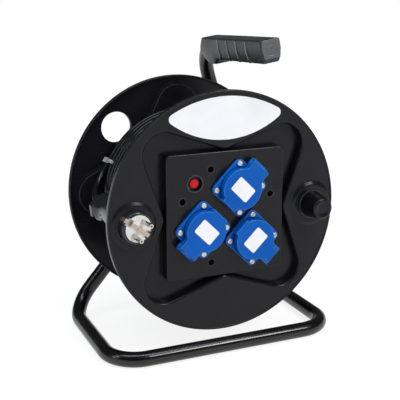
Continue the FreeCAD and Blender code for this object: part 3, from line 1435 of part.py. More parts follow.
def build():
    node("frame_tube", [frame_tube()])
    node("grip", [grip()], grip_place())
    axle()
    node("front_flange", [front_flange()])
    node("rear_flange", [rear_flange()], rear_place())
    node("barrel", [barrel()])
    node("barrel_screws", [barrel_screws()])
    node("socket_panel", [panel()])
    node("panel_screws", [panel_screws()])
    sockets()
    breaker()
    knob()
    node("cord_core", [core()])
    node("cord_winding", [winding()], on_cord=True)
    node("cord_lead", [lead()], on_cord=True)
    cord_inside()
    node("cable_tie", [cable_tie()])
    plug()
    node("flange_label", [label()])


def move_to_floor():
    """The origin goes to the floor, under the middle of the box of all but the cord."""
    lowest = V(1, 1, 1) * number("flange_dia * 10")
    highest = lowest * -1
    for part, place, on_cord in nodes:
        part.Placement = place
        if on_cord:
            continue
        box = part.Shape.optimalBoundingBox(False)
        lowest = V(*[min(pair) for pair in zip(lowest, (box.XMin, box.YMin, box.ZMin))])
        highest = V(*[max(pair) for pair in zip(highest, (box.XMax, box.YMax, box.ZMax))])
    middle = (lowest + highest) * 0.5
    print("box of the reel", [round(size, 2) for size in highest - lowest])
    print("drum axis and front face from the origin",
          [round(size, 3) for size in (-middle.x, -middle.y, -lowest.z)])
    origin = shift(-middle.x, -middle.y, -lowest.z)
    for part, place, on_cord in nodes:
        part.Placement = origin.multiply(place)
    doc.recompute()


def check():
    failed = [item.Name for item in doc.Objects if {"Invalid", "Error"} & set(item.State)]
    broken = [part.Label for part, place, on_cord in nodes
              if part.Shape.isNull() or not part.Shape.isValid() or not part.Shape.Solids]
    if failed or broken:
        raise RuntimeError("objects %s and sub-parts %s failed" % (failed, broken))


def export():
    os.makedirs("parts", exist_ok=True)
    for part, place, on_cord in nodes:
        part.Shape.exportStep("parts/%s.step" % part.Label)
    print(len(nodes), "sub-parts written")


build()
doc.recompute()
check()
move_to_floor()
check()
report_winding_gap()
export()
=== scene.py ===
import bpy
import bmesh
import json
import math
from mathutils import Matrix, Vector


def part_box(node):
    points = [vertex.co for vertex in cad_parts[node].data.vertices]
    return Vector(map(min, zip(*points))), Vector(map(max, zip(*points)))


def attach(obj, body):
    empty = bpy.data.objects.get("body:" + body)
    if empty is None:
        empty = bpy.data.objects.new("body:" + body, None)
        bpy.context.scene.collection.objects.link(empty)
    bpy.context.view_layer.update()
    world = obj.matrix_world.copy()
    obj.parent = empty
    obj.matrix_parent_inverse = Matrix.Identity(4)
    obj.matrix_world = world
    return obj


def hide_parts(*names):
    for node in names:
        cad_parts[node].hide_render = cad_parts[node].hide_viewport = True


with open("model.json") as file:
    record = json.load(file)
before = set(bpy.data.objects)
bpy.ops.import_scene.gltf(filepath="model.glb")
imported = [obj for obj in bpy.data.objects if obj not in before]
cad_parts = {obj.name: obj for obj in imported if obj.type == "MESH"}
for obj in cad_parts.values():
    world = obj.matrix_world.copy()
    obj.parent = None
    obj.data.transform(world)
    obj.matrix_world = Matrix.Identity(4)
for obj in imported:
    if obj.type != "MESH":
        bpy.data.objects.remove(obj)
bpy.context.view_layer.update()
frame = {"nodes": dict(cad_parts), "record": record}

scene = bpy.context.scene
MM = 0.001

# The drum's axis and the plane of the front flange's face. The camera, the cord and the grip are
# placed from there in millimetres, with +X to the right, +Y to the back and +Z up. The floor and
# the lamps are placed in metres about the middle of the floor.
BOSS_RAISE = 2.5 * MM
DRUM = Vector(next(joint["pos_m"] for joint in frame["record"]["behaviour"]["joints"]
                   if joint["name"] == "drum_spin"))
DRUM.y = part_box("front_flange")[0][1] + BOSS_RAISE


def spot(across, back, up):
    """A place about the drum, given in millimetres."""
    return DRUM + Vector((across, back, up)) * MM


# Camera at the photograph's place

CAMERA_AZIMUTH = math.radians(-23.655)
CAMERA_ELEVATION = math.radians(14.997)
CAMERA_FIELD = math.radians(26.0)
CAMERA_PLACE = (-405.3, -853.3, 268.6)
SENSOR_WIDTH = 36
NEAREST_SEEN = 50 * MM

lens = bpy.data.cameras.new("camera")
lens.sensor_width = SENSOR_WIDTH
lens.lens = SENSOR_WIDTH / 2 / math.tan(CAMERA_FIELD / 2)
lens.clip_start = NEAREST_SEEN
camera = bpy.data.objects.new("camera", lens)
camera.location = spot(*CAMERA_PLACE)
camera.rotation_euler = (math.pi / 2 - CAMERA_ELEVATION, 0, CAMERA_AZIMUTH)
scene.collection.objects.link(camera)
scene.camera = camera


# Cord: the winding's outer layer and the free stretch to the plug are one line

CORD_DIA = 8 * MM
WIND_RADIUS = 98.5
LAYER_DROP = 8.5
LAST_TURN_BACK = 138
TIED_ANGLE = 146
WOUND_QUARTERS = 55
CLIMBED_QUARTER = 36
CLIMB_QUARTERS = 2
TURN_PITCHES = ((4, 8.6), (8, 10.1), (WOUND_QUARTERS, 8.5))
POINTS_A_QUARTER = 6
PLUG_AXIS = Vector((-9.6, 77, 2.5)).normalized()
PLUG_HOLE = Vector((-110.289, 0, -1.540))
PLUG_AHEAD = 12
PLUG_LENGTH = 92
TIED_RUN = 8
STRAIGHT_RUN = 20.72
FREE_BENDS = (Vector((-110.4, 129.9, 17.0)), Vector((-119.4, 114.4, 6.6)))
PLUG_RUN = 15.44
CORD_STEPS = 4
CORD_ROUND_STEPS = 5


def around(radius, degrees, back):
    angle = math.radians(degrees)
    return Vector((radius * math.cos(angle), back, radius * math.sin(angle)))


def turn_back(quarter):
    """How far back the winding lies, so many quarter turns before its tied end."""
    back = LAST_TURN_BACK
    done = 0
    for limit, pitch in TURN_PITCHES:
        step = min(quarter, limit) - done
        if step > 0:
            back -= step * pitch / 4
            done += step
    return back


def wound_line():
    """The turns from the first to the tied one, let out a little because the curve cuts inside."""
    count = WOUND_QUARTERS * POINTS_A_QUARTER
    let_out = 2 / (1 + math.cos(math.radians(45 / POINTS_A_QUARTER)))
    line = []
    for index in range(count, -1, -1):
        quarter = index / POINTS_A_QUARTER
        low_share = min(max((quarter - CLIMBED_QUARTER) / CLIMB_QUARTERS, 0), 1)
        radius = (WIND_RADIUS - LAYER_DROP * low_share) * let_out
        line.append(around(radius, TIED_ANGLE - 90 * quarter, turn_back(quarter)))
    return line


def free_line():
    """The points of the stretch from the tied end to the plug."""
    leaving = around(1, TIED_ANGLE + 90, 0)
    start = around(WIND_RADIUS, TIED_ANGLE, LAST_TURN_BACK) + leaving * TIED_RUN
    rear = PLUG_HOLE + PLUG_AXIS * (PLUG_LENGTH - PLUG_AHEAD / PLUG_AXIS.y)
    return [start, start + leaving * STRAIGHT_RUN, *FREE_BENDS, rear + PLUG_AXIS * PLUG_RUN, rear]


def curve_object(name, line, radius):
    """A round cord along a line. Each point carries the radius, which keeps the cord's box right."""
    curve = bpy.data.curves.new(name, "CURVE")
    curve.dimensions = "3D"
    spline = curve.splines.new("NURBS")
    spline.points.add(len(line) - 1)
    for point, place in zip(spline.points, line):
        point.co = (*spot(*place), 1)
        point.radius = radius
    spline.order_u = 3
    spline.use_endpoint_u = True
    spline.resolution_u = CORD_STEPS
    curve.bevel_depth = 1
    curve.bevel_resolution = CORD_ROUND_STEPS
    item = bpy.data.objects.new(name, curve)
    scene.collection.objects.link(item)
    return item


cord_line = wound_line() + free_line()
cord = curve_object("cord", cord_line, CORD_DIA / 2)
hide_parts("cord_winding", "cord_lead")
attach(cord, "drum")


# Mesh helpers

def smooth_share(value, low, high):
    """A soft step from zero at low to one at high."""
    share = min(max((value - low) / (high - low), 0), 1)
    return share * share * (3 - 2 * share)


def along(value, marks):
    """The value read from a row of (place, value) marks, straight between them."""
    if value <= marks[0][0]:
        return marks[0][1]
    for (start, first), (end, last) in zip(marks, marks[1:]):
        if value <= end:
            return first + (last - first) * (value - start) / (end - start)
    return marks[-1][1]


def mesh_object(name, verts, faces, body, made):
    """A new piece from points in metres, riding on a body."""
    mesh = bpy.data.meshes.new(name)
    mesh.from_pydata([tuple(vert) for vert in verts], [], faces)
    mesh.validate()
    shell = bmesh.new()
    shell.from_mesh(mesh)
    bmesh.ops.recalc_face_normals(shell, faces=shell.faces)
    shell.to_mesh(mesh)
    shell.free()
    for face in mesh.polygons:
        face.use_smooth = True
    item = bpy.data.objects.new(name, mesh)
    scene.collection.objects.link(item)
    item.data.materials.append(made)
    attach(item, body)
    return item


def loft(rings):
    """Points and faces of a closed skin over rings of equal counts, shut at both ends."""
    count = len(rings[0])
    verts = [vert for ring in rings for vert in ring]
    faces = []
    for row in range(len(rings) - 1):
        for index in range(count):
            after = (index + 1) % count
            faces.append((row * count + index, row * count + after,
                          (row + 1) * count + after, (row + 1) * count + index))
    for row in (0, len(rings) - 1):
        middle = len(verts)
        verts.append(sum((Vector(vert) for vert in rings[row]), Vector()) / count)
        for index in range(count):
            faces.append((row * count + index, row * count + (index + 1) % count, middle))
    return verts, faces


# Grip: a moulded sleeve with finger ridges, lofted along its own length

GRIP_FRONT = -192.0
GRIP_REAR = -27.0
GRIP_HALF = 11.25
GRIP_TOP_LINE = ((GRIP_FRONT, 11.5), (-34.5, 11.5), (-32, 8.5), (GRIP_REAR, 0.5))
GRIP_LOW_LINE = ((GRIP_FRONT, -10.5), (-187.5, -14.5), (-74, -14.5), (-70, -15.5), (-62, -20.5),
                 (-46, -20.5), (-41, -19), (-35, -15.5), (-30, -11.5), (GRIP_REAR, -7.7))
RIDGES = (-155.2, -130.5, -105.8, -81.1)
RIDGE_RISE = 1.2
RIDGE_WIDTH = 0.8
# The crest constants place the painted highlight along the ridges.
CREST_SHIFT = 0.3
CREST_WIDTH = 0.7
CREST_LOW = -8
CREST_HIGH = 9.8
HOLLOW_DEPTH = 3.4
HOLLOW_WIDTH = 6.5
LOW_TAPER = 1.3
END_ROUND = 1.0
POINTS_A_RING = 96
SQUARENESS = 0.14
RIDGE_TOP_SHARE = 0.95
RIDGE_FADE_SHARE = 0.12
RIDGE_LOSS_SHARE = 0.6
RIDGE_LOSS_END_SHARE = 0.7
HOLLOW_FROM_SHARE = 0.15
HOLLOW_SPAN_SHARE = 1.1
HOLLOW_LIP_SHARE = 0.2
LEAST_SHARE = 0.01
SEAM_BACK = 1.6
SEAM_WIDTH = 0.6
SEAM_DEPTH = 0.8
LENGTH_BULGE = 0.5
SIDE_BULGE = 0.9
TAPER_FROM_SHARE = -0.2
FINE_STEP = 0.45
WIDE_STEP = 1.6
FINE_AT_RIDGE = 3
FINE_AT_FRONT = 6
FINE_AT_REAR = 4
END_GAP = 0.02
END_SHARES = (0.02, 0.06, 0.1, 0.16, 0.24, 0.34, 0.44, 0.5, 0.54, 0.58, 0.62, 0.66, 0.74, 0.84, 0.93)
RING_RADIUS = 6.2
RING_WIDTH = 0.55
RING_DEPTH = 0.9
CROSS_REACH = 2.2
CROSS_WIDTH = 0.5
CROSS_DEPTH = 1.0
GRIP_PLACE = Vector((42.2, 169.0, 174.5))
GRIP_PITCH = math.radians(-2.8)
GRIP_ROLL = math.radians(-8.5)


def grip_skin(place, turn):
    """A point of the grip's skin: its station along the grip and its angle about the axis."""
    top = along(place, GRIP_TOP_LINE)
    low = along(place, GRIP_LOW_LINE)
    from_end = min(place - GRIP_FRONT, GRIP_REAR - place)
    inset = 0
    if from_end < END_ROUND:
        inset = END_ROUND - math.sqrt(END_ROUND ** 2 - (END_ROUND - from_end) ** 2)
    cosine = math.cos(turn)
    sine = math.sin(turn)
    across = math.copysign(abs(cosine) ** SQUARENESS, cosine)
    up = math.copysign(abs(sine) ** SQUARENESS, sine)
    under_top = smooth_share(RIDGE_TOP_SHARE - up, 0, RIDGE_FADE_SHARE)
    under_top *= 1 - RIDGE_LOSS_SHARE * smooth_share(-up, 0, RIDGE_LOSS_END_SHARE)
    lowness = min(max((HOLLOW_FROM_SHARE - up) / HOLLOW_SPAN_SHARE, 0), 1)
    rise = 0
    hollow = 0
    for ridge in RIDGES:
        rise += RIDGE_RISE * math.exp(-((place - ridge) / RIDGE_WIDTH) ** 2) * under_top
        ahead = (ridge - RIDGE_WIDTH - place) / (HOLLOW_WIDTH * max(lowness, LEAST_SHARE))
        if 0 < ahead < 1:
            hollow += HOLLOW_DEPTH * lowness * smooth_share(ahead, 0, HOLLOW_LIP_SHARE) * (1 - ahead)
    seam = SEAM_DEPTH * math.exp(-((place - GRIP_FRONT - SEAM_BACK) / SEAM_WIDTH) ** 2)
    grown = rise - hollow - seam - inset
    bulge = LENGTH_BULGE * math.sin(math.pi * (place - GRIP_FRONT) / (GRIP_REAR - GRIP_FRONT))
    bulge += SIDE_BULGE * (1 - up * up)
    half = GRIP_HALF + bulge - LOW_TAPER * smooth_share(-up, TAPER_FROM_SHARE, 1) + grown
    middle = (top + low) / 2
    tall = (top - low) / 2 + grown
    return Vector((half * across, place, middle + tall * up))


def grip_stations():
    """Places along the grip for its rings, closer together at the ridges and the ends."""
    stations = []
    place = GRIP_FRONT + END_GAP
    while place < GRIP_REAR:
        stations.append(place)
        near = min(abs(place - ridge) for ridge in RIDGES)
        fine = near < FINE_AT_RIDGE or place - GRIP_FRONT < FINE_AT_FRONT or GRIP_REAR - place < FINE_AT_REAR
        place += FINE_STEP if fine else WIDE_STEP
    return stations + [GRIP_REAR - END_GAP]


def mould_mark(offset):
    """How deep the ring and the small cross of the end face lie, so far off its middle."""
    radius = offset.length
    ring = RING_DEPTH * math.exp(-((radius - RING_RADIUS) / RING_WIDTH) ** 2)
    from_line = min(abs(offset.x), abs(offset.z))
    cross = CROSS_DEPTH * math.exp(-(from_line / CROSS_WIDTH) ** 2) * (radius < CROSS_REACH)
    return ring + cross


def grip_end(outline):
    """Rings that shut the front end, from its middle out, with the mould marks of its face."""
    middle = sum(outline, Vector()) / POINTS_A_RING
    rings = []
    for share in END_SHARES:
        offsets = [(item - middle) * share for item in outline]
        rings.append([middle + offset + Vector((0, mould_mark(offset), 0)) for offset in offsets])
    return rings


def build_grip():
    """The grip, with a painted highlight on the crests of its ridges and its end face painted lighter for
    the light that falls on it.
    """
    place = Matrix.Translation(GRIP_PLACE)
    place = place @ Matrix.Rotation(GRIP_PITCH, 4, "X") @ Matrix.Rotation(GRIP_ROLL, 4, "Y")
    turns = [math.tau * index / POINTS_A_RING for index in range(POINTS_A_RING)]
    side_rings = [[grip_skin(station, turn) for turn in turns] for station in grip_stations()]
    end_rings = grip_end(side_rings[0])
    rings = [[spot(*(place @ vert)) for vert in ring] for ring in end_rings + side_rings]
    verts, faces = loft(rings)
    grip = mesh_object("grip_sleeve", verts, faces, "frame", GRIP)
    grip.data.materials.append(GRIP_CREST_PAINTED_HIGHLIGHT)
    grip.data.materials.append(GRIP_END_PAINTED_LIGHT)
    turned_back = place.inverted()
    # Faces on the ridges' crests take the painted highlight, and the end face the colour lightened for the
    # light falling on it.
    for face in grip.data.polygons:
        middle = turned_back @ ((face.center - DRUM) / MM)
        near = min(abs(middle.y - ridge + CREST_SHIFT) for ridge in RIDGES)
        if near < CREST_WIDTH and CREST_LOW < middle.z < CREST_HIGH:
            face.material_index = 1
        if face.index < len(end_rings) * POINTS_A_RING:
            face.material_index = 2
    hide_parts("grip")


# Materials

FULL_GLOSS = 0.5
GRAIN_RISE = 0.1 * MM
NOISE_FROM = 0.3
NOISE_TO = 0.7
BLEND_FROM = 0.35
BLEND_TO = 0.65
DARKER_SHARE = 0.82
SHAPE_SAMPLES = 6
# Painted edge highlight: how far inside the part the occlusion looks, and the occlusion values for none and
# all of the lighter colour.
EDGE_HIGHLIGHT_REACH = 1.1 * MM
EDGE_HIGHLIGHT_NONE = 0.9
EDGE_HIGHLIGHT_FULL = 0.6
# Painted groove shade: how far the occlusion looks, and the occlusion values for none and all of the darker
# colour.
GROOVE_SHADE_REACH = 2.5 * MM
GROOVE_SHADE_NONE = 0.85
GROOVE_SHADE_FULL = 0.35


def material(name, color, roughness, metallic=0, gloss=FULL_GLOSS):
    """A new material with the constants of its shader. Gloss is the specular level."""
    made = bpy.data.materials.new(name)
    made.use_nodes = True
    made.diffuse_color = (*color, 1)
    shader = made.node_tree.nodes["Principled BSDF"]
    shader.inputs["Base Color"].default_value = (*color, 1)
    shader.inputs["Roughness"].default_value = roughness
    shader.inputs["Metallic"].default_value = metallic
    shader.inputs["Specular IOR Level"].default_value = gloss
    return made


def node(made, kind, **settings):
    """A new node. A setting is a property of the node, or else one of its inputs."""
    item = made.node_tree.nodes.new(kind)
    for key, value in settings.items():
        if hasattr(item, key):
            setattr(item, key, value)
        else:
            item.inputs[key].default_value = value
    return item


def link(made, source, target):
    made.node_tree.links.new(source, target)


def noise(made, scale, detail=3):
    """Noise in the object's own metres."""
    place = node(made, "ShaderNodeTexCoord")
    grain = node(made, "ShaderNodeTexNoise", Scale=scale, Detail=detail)
    link(made, place.outputs["Object"], grain.inputs["Vector"])
    return grain.outputs["Fac"]


def vary_color(made, source, low, high):
    """The base colour moves between two colours with a noise."""
    ramp = node(made, "ShaderNodeValToRGB")
    ramp.color_ramp.elements[0].position = BLEND_FROM
    ramp.color_ramp.elements[0].color = (*low, 1)
    ramp.color_ramp.elements[1].position = BLEND_TO
    ramp.color_ramp.elements[1].color = (*high, 1)
    link(made, source, ramp.inputs["Fac"])
    link(made, ramp.outputs["Color"], made.node_tree.nodes["Principled BSDF"].inputs["Base Color"])


def paint_light_by_shape(made, shape, none_at, full_at, color):
    """Paints light and shade into the base colour: mixes a colour in, none and all of it at these values of
    the shape node.
    """
    shader = made.node_tree.nodes["Principled BSDF"]
    plain = shader.inputs["Base Color"].links[0].from_socket
    reach = node(made, "ShaderNodeMapRange")
    reach.inputs["From Min"].default_value = none_at
    reach.inputs["From Max"].default_value = full_at
    mix = node(made, "ShaderNodeMixRGB")
    mix.inputs["Color2"].default_value = (*color, 1)
    link(made, shape.outputs["AO"], reach.inputs["Value"])
    link(made, reach.outputs["Result"], mix.inputs["Fac"])
    link(made, plain, mix.inputs["Color1"])
    link(made, mix.outputs["Color"], shader.inputs["Base Color"])


def paint_edge_highlights(made, color):
    """Paints a highlight on rounded outer edges: a lighter colour where occlusion traced inside the part
    shows an edge.
    """
    shape = node(made, "ShaderNodeAmbientOcclusion", inside=True, only_local=True,
                 samples=SHAPE_SAMPLES, Distance=EDGE_HIGHLIGHT_REACH)
    paint_light_by_shape(made, shape, EDGE_HIGHLIGHT_NONE, EDGE_HIGHLIGHT_FULL, color)


def paint_groove_shade(made, color):
    """Paints shade into grooves, seams and where parts meet: a darker colour where the occlusion is high."""
    shape = node(made, "ShaderNodeAmbientOcclusion", samples=SHAPE_SAMPLES, Distance=GROOVE_SHADE_REACH)
    paint_light_by_shape(made, shape, GROOVE_SHADE_NONE, GROOVE_SHADE_FULL, color)


def vary_roughness(made, source, low, high):
    """The roughness moves between two values with a noise."""
    reach = node(made, "ShaderNodeMapRange")
    reach.inputs["From Min"].default_value = NOISE_FROM
    reach.inputs["From Max"].default_value = NOISE_TO
    reach.inputs["To Min"].default_value = low
    reach.inputs["To Max"].default_value = high
    link(made, source, reach.inputs["Value"])
    link(made, reach.outputs["Result"], made.node_tree.nodes["Principled BSDF"].inputs["Roughness"])


def bump(made, source, strength):
    """A fine relief that only the light shows."""
    rise = node(made, "ShaderNodeBump")
    rise.inputs["Strength"].default_value = strength
    rise.inputs["Distance"].default_value = GRAIN_RISE
    link(made, source, rise.inputs["Height"])
    link(made, rise.outputs["Normal"], made.node_tree.nodes["Principled BSDF"].inputs["Normal"])


def moulded_plastic(name, dark, light, rough, grain=0.1, gloss=FULL_GLOSS, edges=None, grooves=None):
    """Moulded plastic with a fine grain and faint cloudy shades; the edges colour, when given, paints a
    highlight on outer edges, and the grooves colour paints shade in grooves.
    """
    made = material(name, dark, rough[0], gloss=gloss)
    vary_color(made, noise(made, scale=14, detail=4), dark, light)
    if edges:
        paint_edge_highlights(made, edges)
    vary_roughness(made, noise(made, scale=45, detail=5), *rough)
    bump(made, noise(made, scale=2600, detail=2), grain)
    if grooves:
        paint_groove_shade(made, grooves)
    return made


def metal(name, color, rough):
    """Plated or bare metal with faint spots."""
    made = material(name, color, rough[0], metallic=1)
    vary_roughness(made, noise(made, scale=700, detail=4), *rough)
    darker = tuple(channel * DARKER_SHARE for channel in color)
    vary_color(made, noise(made, scale=240, detail=4), darker, color)
    bump(made, noise(made, scale=1500), strength=0.08)
    return made


def tube_paint():
    """Glossy black paint on steel."""
    made = material("tube_paint", color=(0.003, 0.003, 0.004), roughness=0.22)
    vary_roughness(made, noise(made, scale=60), low=0.18, high=0.25)
    bump(made, noise(made, scale=900, detail=2), strength=0.05)
    return made


def paper():
    """White label film with faint cloudy shades."""
    made = material("label_paper", color=(0.8, 0.8, 0.82), roughness=0.45)
    vary_color(made, noise(made, scale=35, detail=5), low=(0.86, 0.86, 0.88), high=(0.9, 0.9, 0.91))
    bump(made, noise(made, scale=1800, detail=4), strength=0.05)
    return made


TUBE = tube_paint()
GRIP = moulded_plastic("grip_rubber", dark=(0.014, 0.015, 0.018), light=(0.022, 0.024, 0.028),
                       rough=(0.32, 0.42), grain=0.3, gloss=0.35)
# The end face's colour is the black rubber lightened to paint the light falling on it; the crests' colour
# paints a highlight.
GRIP_END_PAINTED_LIGHT = moulded_plastic("grip_end", dark=(0.08, 0.083, 0.09), light=(0.11, 0.113, 0.12),
                           rough=(0.3, 0.4), grain=0.3, gloss=0.4)
GRIP_CREST_PAINTED_HIGHLIGHT = moulded_plastic("grip_crest_painted_highlight", dark=(0.17, 0.18, 0.2), light=(0.22, 0.23, 0.25),
                             rough=(0.25, 0.32), grain=0.2)
# The edges colours paint highlights on the rounded outer edges.
DRUM_PLASTIC = moulded_plastic("drum_plastic", dark=(0.006, 0.006, 0.0075), light=(0.009, 0.009, 0.0115),
                               rough=(0.2, 0.3), grain=0.15, gloss=0.21, edges=(0.07, 0.07, 0.08))
PANEL_PLASTIC = moulded_plastic("panel_plastic", dark=(0.003, 0.003, 0.004), light=(0.0055, 0.0055, 0.007),
                                rough=(0.2, 0.3), grain=0.2, gloss=0.24, edges=(0.07, 0.07, 0.08))
# The blue's grooves colour paints shade in its grooves and where it meets other parts.
BLUE = moulded_plastic("socket_blue", dark=(0, 0.085, 0.41), light=(0, 0.1, 0.45), rough=(0.28, 0.36),
                       grain=0.08, gloss=0.14, edges=(0.04, 0.2, 0.62), grooves=(0, 0.02, 0.1))
ZINC = metal("zinc_plate", color=(0.62, 0.62, 0.6), rough=(0.25, 0.4))
NICKEL = metal("nickel_plate", color=(0.7, 0.66, 0.58), rough=(0.15, 0.26))
BRASS = metal("brass", color=(0.72, 0.55, 0.28), rough=(0.22, 0.36))
STRAP = metal("strap_plate", color=(0.6, 0.5, 0.4), rough=(0.4, 0.5))
CORD_RUBBER = moulded_plastic("cord_rubber", dark=(0.006, 0.006, 0.007), light=(0.01, 0.01, 0.011),
                              rough=(0.14, 0.2), gloss=0.3)
PLUG_RUBBER = moulded_plastic("plug_rubber", dark=(0.008, 0.008, 0.009), light=(0.014, 0.014, 0.016),
                              rough=(0.15, 0.22))
# The tie is black; its colour is lightened to grey to paint the sheen of its glints.
TIE = moulded_plastic("tie_plastic_painted_sheen", dark=(0.28, 0.28, 0.3), light=(0.34, 0.34, 0.36),
                      rough=(0.2, 0.28), grain=0.05)
RED = moulded_plastic("button_red", dark=(0.62, 0.006, 0.008), light=(0.7, 0.01, 0.011),
                      rough=(0.2, 0.28), grain=0.05, gloss=0.2)
WHITE_PLASTIC = moulded_plastic("white_plastic", dark=(0.7, 0.69, 0.66), light=(0.76, 0.75, 0.72),
                                rough=(0.3, 0.4), grain=0.08)
PAPER = paper()

SLOT_MATERIALS = {
    "tube_black": TUBE,
    "grip_grey": GRIP,
    "zinc": ZINC,
    "bush_white": WHITE_PLASTIC,
    "drum_black": DRUM_PLASTIC,
    "panel_black": PANEL_PLASTIC,
    "screw_black": PANEL_PLASTIC,
    "socket_blue": BLUE,
    "contact_brass": BRASS,
    "seal_rubber": CORD_RUBBER,
    "label_white": PAPER,
    "button_red": RED,
    "cord_black": CORD_RUBBER,
    "terminal_white": WHITE_PLASTIC,
    "tie_black": TIE,
    "plug_black": PLUG_RUBBER,
    "plug_white": WHITE_PLASTIC,
    "plug_nickel": NICKEL,
    "plug_strap": STRAP,
}


WELD_REACH = 0.01 * MM
SHARP_ANGLE = math.radians(35)
BEVEL_STEPS = 2
PLAIN_EDGE = 0.35
SMALL_EDGE = 0.3


def dress_nodes():
    """Gives each CAD node the material of its slot."""
    for row in frame["record"]["subparts"]:
        item = frame["nodes"][row["node"]]
        for place in item.material_slots:
            place.material = SLOT_MATERIALS[row["material_slot"]]
        if not item.material_slots:
            item.data.materials.append(SLOT_MATERIALS[row["material_slot"]])


def soften(width, *names):
    """Rounds the sharp edges of CAD nodes a little, so that they catch the light."""
    for name in names:
        item = frame["nodes"][name]
        weld = item.modifiers.new("weld", "WELD")
        weld.merge_threshold = WELD_REACH
        bevel = item.modifiers.new("bevel", "BEVEL")
        bevel.width = width * MM
        bevel.segments = BEVEL_STEPS
        bevel.limit_method = "ANGLE"
        bevel.angle_limit = SHARP_ANGLE
        bevel.harden_normals = True


dress_nodes()
cord.data.materials.append(CORD_RUBBER)
build_grip()
soften(PLAIN_EDGE, "front_flange", "rear_flange", "plug_body")
soften(PLAIN_EDGE, "lid_a", "lid_b", "lid_c", "socket_base_a", "socket_base_b", "socket_base_c")
soften(SMALL_EDGE, "breaker_collar", "reset_button", "knob", "plug_insert", "cable_tie", "axle_bolt")


# Floor, background and light

WHITE_TO = ("Is Camera Ray", "Is Glossy Ray", "Is Transmission Ray")
FLOOR_SIDE = 2.6
FLOOR_GLOW = 0.83
FLOOR_COLOR = (0.8, 0.8, 0.8, 1)
FLOOR_MATTE = (0.24, 0.24, 0.24, 1)
FLOOR_NEAR = 0.35
FLOOR_FAR = 1.1
SOFT_COLOR = (0.93, 0.96, 1, 1)
SOFT_FROM = -0.5
SOFT_LOW = 0.15
SOFT_HIGH = 0.6
ROOM_FROM = 0
ROOM_TO = 0.16
ROOM_ABOVE = 0.06
COOL_LIGHT = (0.92, 0.95, 1)
LIT_PLACE = Vector((0, 0, 0.15))


def ray_switch(nodes, links, names):
    """One where a ray is of any of the named kinds."""
    rays = nodes.new("ShaderNodeLightPath")
    value = rays.outputs[names[0]]
    for name in names[1:]:
        either = nodes.new("ShaderNodeMath")
        either.operation = "MAXIMUM"
        links.new(value, either.inputs[0])
        links.new(rays.outputs[name], either.inputs[1])
        value = either.outputs[0]
    return value


def stage_floor():
    """A white floor that keeps the object's shadow and turns to plain white further out."""
    bpy.ops.mesh.primitive_plane_add(size=FLOOR_SIDE, location=(0, 0, 0))
    floor = bpy.context.object
    floor.name = "floor"
    made = bpy.data.materials.new("floor_white")
    made.use_nodes = True
    nodes = made.node_tree.nodes
    links = made.node_tree.links
    nodes.clear()
    out = nodes.new("ShaderNodeOutputMaterial")
    matte = nodes.new("ShaderNodeBsdfDiffuse")
    matte.inputs["Color"].default_value = FLOOR_COLOR
    soft = nodes.new("ShaderNodeBsdfDiffuse")
    soft.inputs["Color"].default_value = FLOOR_MATTE
    glow = nodes.new("ShaderNodeEmission")
    place = nodes.new("ShaderNodeTexCoord")
    away = nodes.new("ShaderNodeVectorMath")
    away.operation = "LENGTH"
    reach = nodes.new("ShaderNodeMapRange")
    reach.interpolation_type = "SMOOTHSTEP"
    reach.inputs["From Min"].default_value = FLOOR_NEAR
    reach.inputs["From Max"].default_value = FLOOR_FAR
    reach.inputs["To Min"].default_value = FLOOR_GLOW
    reach.inputs["To Max"].default_value = 1
    both = nodes.new("ShaderNodeAddShader")
    seen = nodes.new("ShaderNodeMixShader")
    links.new(place.outputs["Object"], away.inputs[0])
    links.new(away.outputs["Value"], reach.inputs["Value"])
    links.new(reach.outputs["Result"], glow.inputs["Strength"])
    links.new(soft.outputs[0], both.inputs[0])
    links.new(glow.outputs[0], both.inputs[1])
    links.new(ray_switch(nodes, links, WHITE_TO), seen.inputs[0])
    links.new(matte.outputs[0], seen.inputs[1])
    links.new(both.outputs[0], seen.inputs[2])
    links.new(seen.outputs[0], out.inputs["Surface"])
    floor.data.materials.append(made)


def by_height(nodes, links, place, low, high, from_value, to_value):
    """A value that moves softly with the height that a direction points at."""
    parts = nodes.new("ShaderNodeSeparateXYZ")
    reach = nodes.new("ShaderNodeMapRange")
    reach.interpolation_type = "SMOOTHSTEP"
    reach.inputs["From Min"].default_value = low
    reach.inputs["From Max"].default_value = high
    reach.inputs["To Min"].default_value = from_value
    reach.inputs["To Max"].default_value = to_value
    links.new(place.outputs["Generated"], parts.inputs[0])
    links.new(parts.outputs["Z"], reach.inputs["Value"])
    return reach.outputs["Result"]


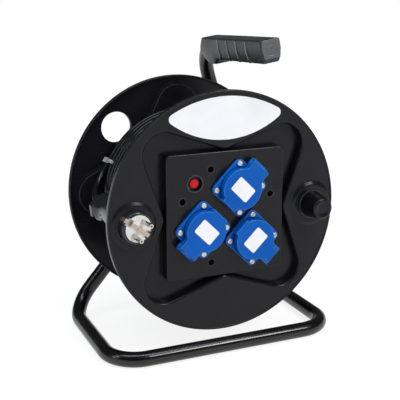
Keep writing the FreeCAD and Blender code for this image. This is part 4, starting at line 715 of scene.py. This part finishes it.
def white_world():
    """A white background, a dim room above it in reflections, and a soft light for the surfaces."""
    world = bpy.data.worlds.new("world")
    scene.world = world
    world.use_nodes = True
    nodes = world.node_tree.nodes
    links = world.node_tree.links
    nodes.clear()
    out = nodes.new("ShaderNodeOutputWorld")
    place = nodes.new("ShaderNodeTexCoord")
    soft = nodes.new("ShaderNodeBackground")
    soft.inputs["Color"].default_value = SOFT_COLOR
    links.new(by_height(nodes, links, place, SOFT_FROM, 1, SOFT_LOW, SOFT_HIGH), soft.inputs["Strength"])
    white = nodes.new("ShaderNodeBackground")
    white.inputs["Color"].default_value = (1, 1, 1, 1)
    rays = nodes.new("ShaderNodeLightPath")
    strength = nodes.new("ShaderNodeMath")
    strength.operation = "MAXIMUM"
    links.new(by_height(nodes, links, place, ROOM_FROM, ROOM_TO, 1, ROOM_ABOVE), strength.inputs[0])
    links.new(rays.outputs["Is Camera Ray"], strength.inputs[1])
    links.new(strength.outputs[0], white.inputs["Strength"])
    mix = nodes.new("ShaderNodeMixShader")
    links.new(ray_switch(nodes, links, WHITE_TO), mix.inputs[0])
    links.new(soft.outputs[0], mix.inputs[1])
    links.new(white.outputs[0], mix.inputs[2])
    links.new(mix.outputs[0], out.inputs["Surface"])


def area_light(name, place, size, power, color):
    """A lamp that points at the middle of the object."""
    data = bpy.data.lights.new(name, "AREA")
    data.shape = "RECTANGLE"
    data.size = size[0]
    data.size_y = size[1]
    data.energy = power
    data.color = color
    item = bpy.data.objects.new(name, data)
    item.location = place
    item.rotation_euler = (LIT_PLACE - Vector(place)).to_track_quat("-Z", "Y").to_euler()
    scene.collection.objects.link(item)


stage_floor()
white_world()
area_light("key_light", place=(0.8, -1.35, 1.4), size=(0.5, 0.5), power=17, color=(1, 1, 1))
area_light("top_light", place=(-0.1, -0.35, 1.4), size=(1.5, 0.25), power=9, color=COOL_LIGHT)
area_light("left_light", place=(-1.5, -0.2, 0.9), size=(0.12, 1.2), power=5, color=COOL_LIGHT)
scene.view_settings.view_transform = "Standard"
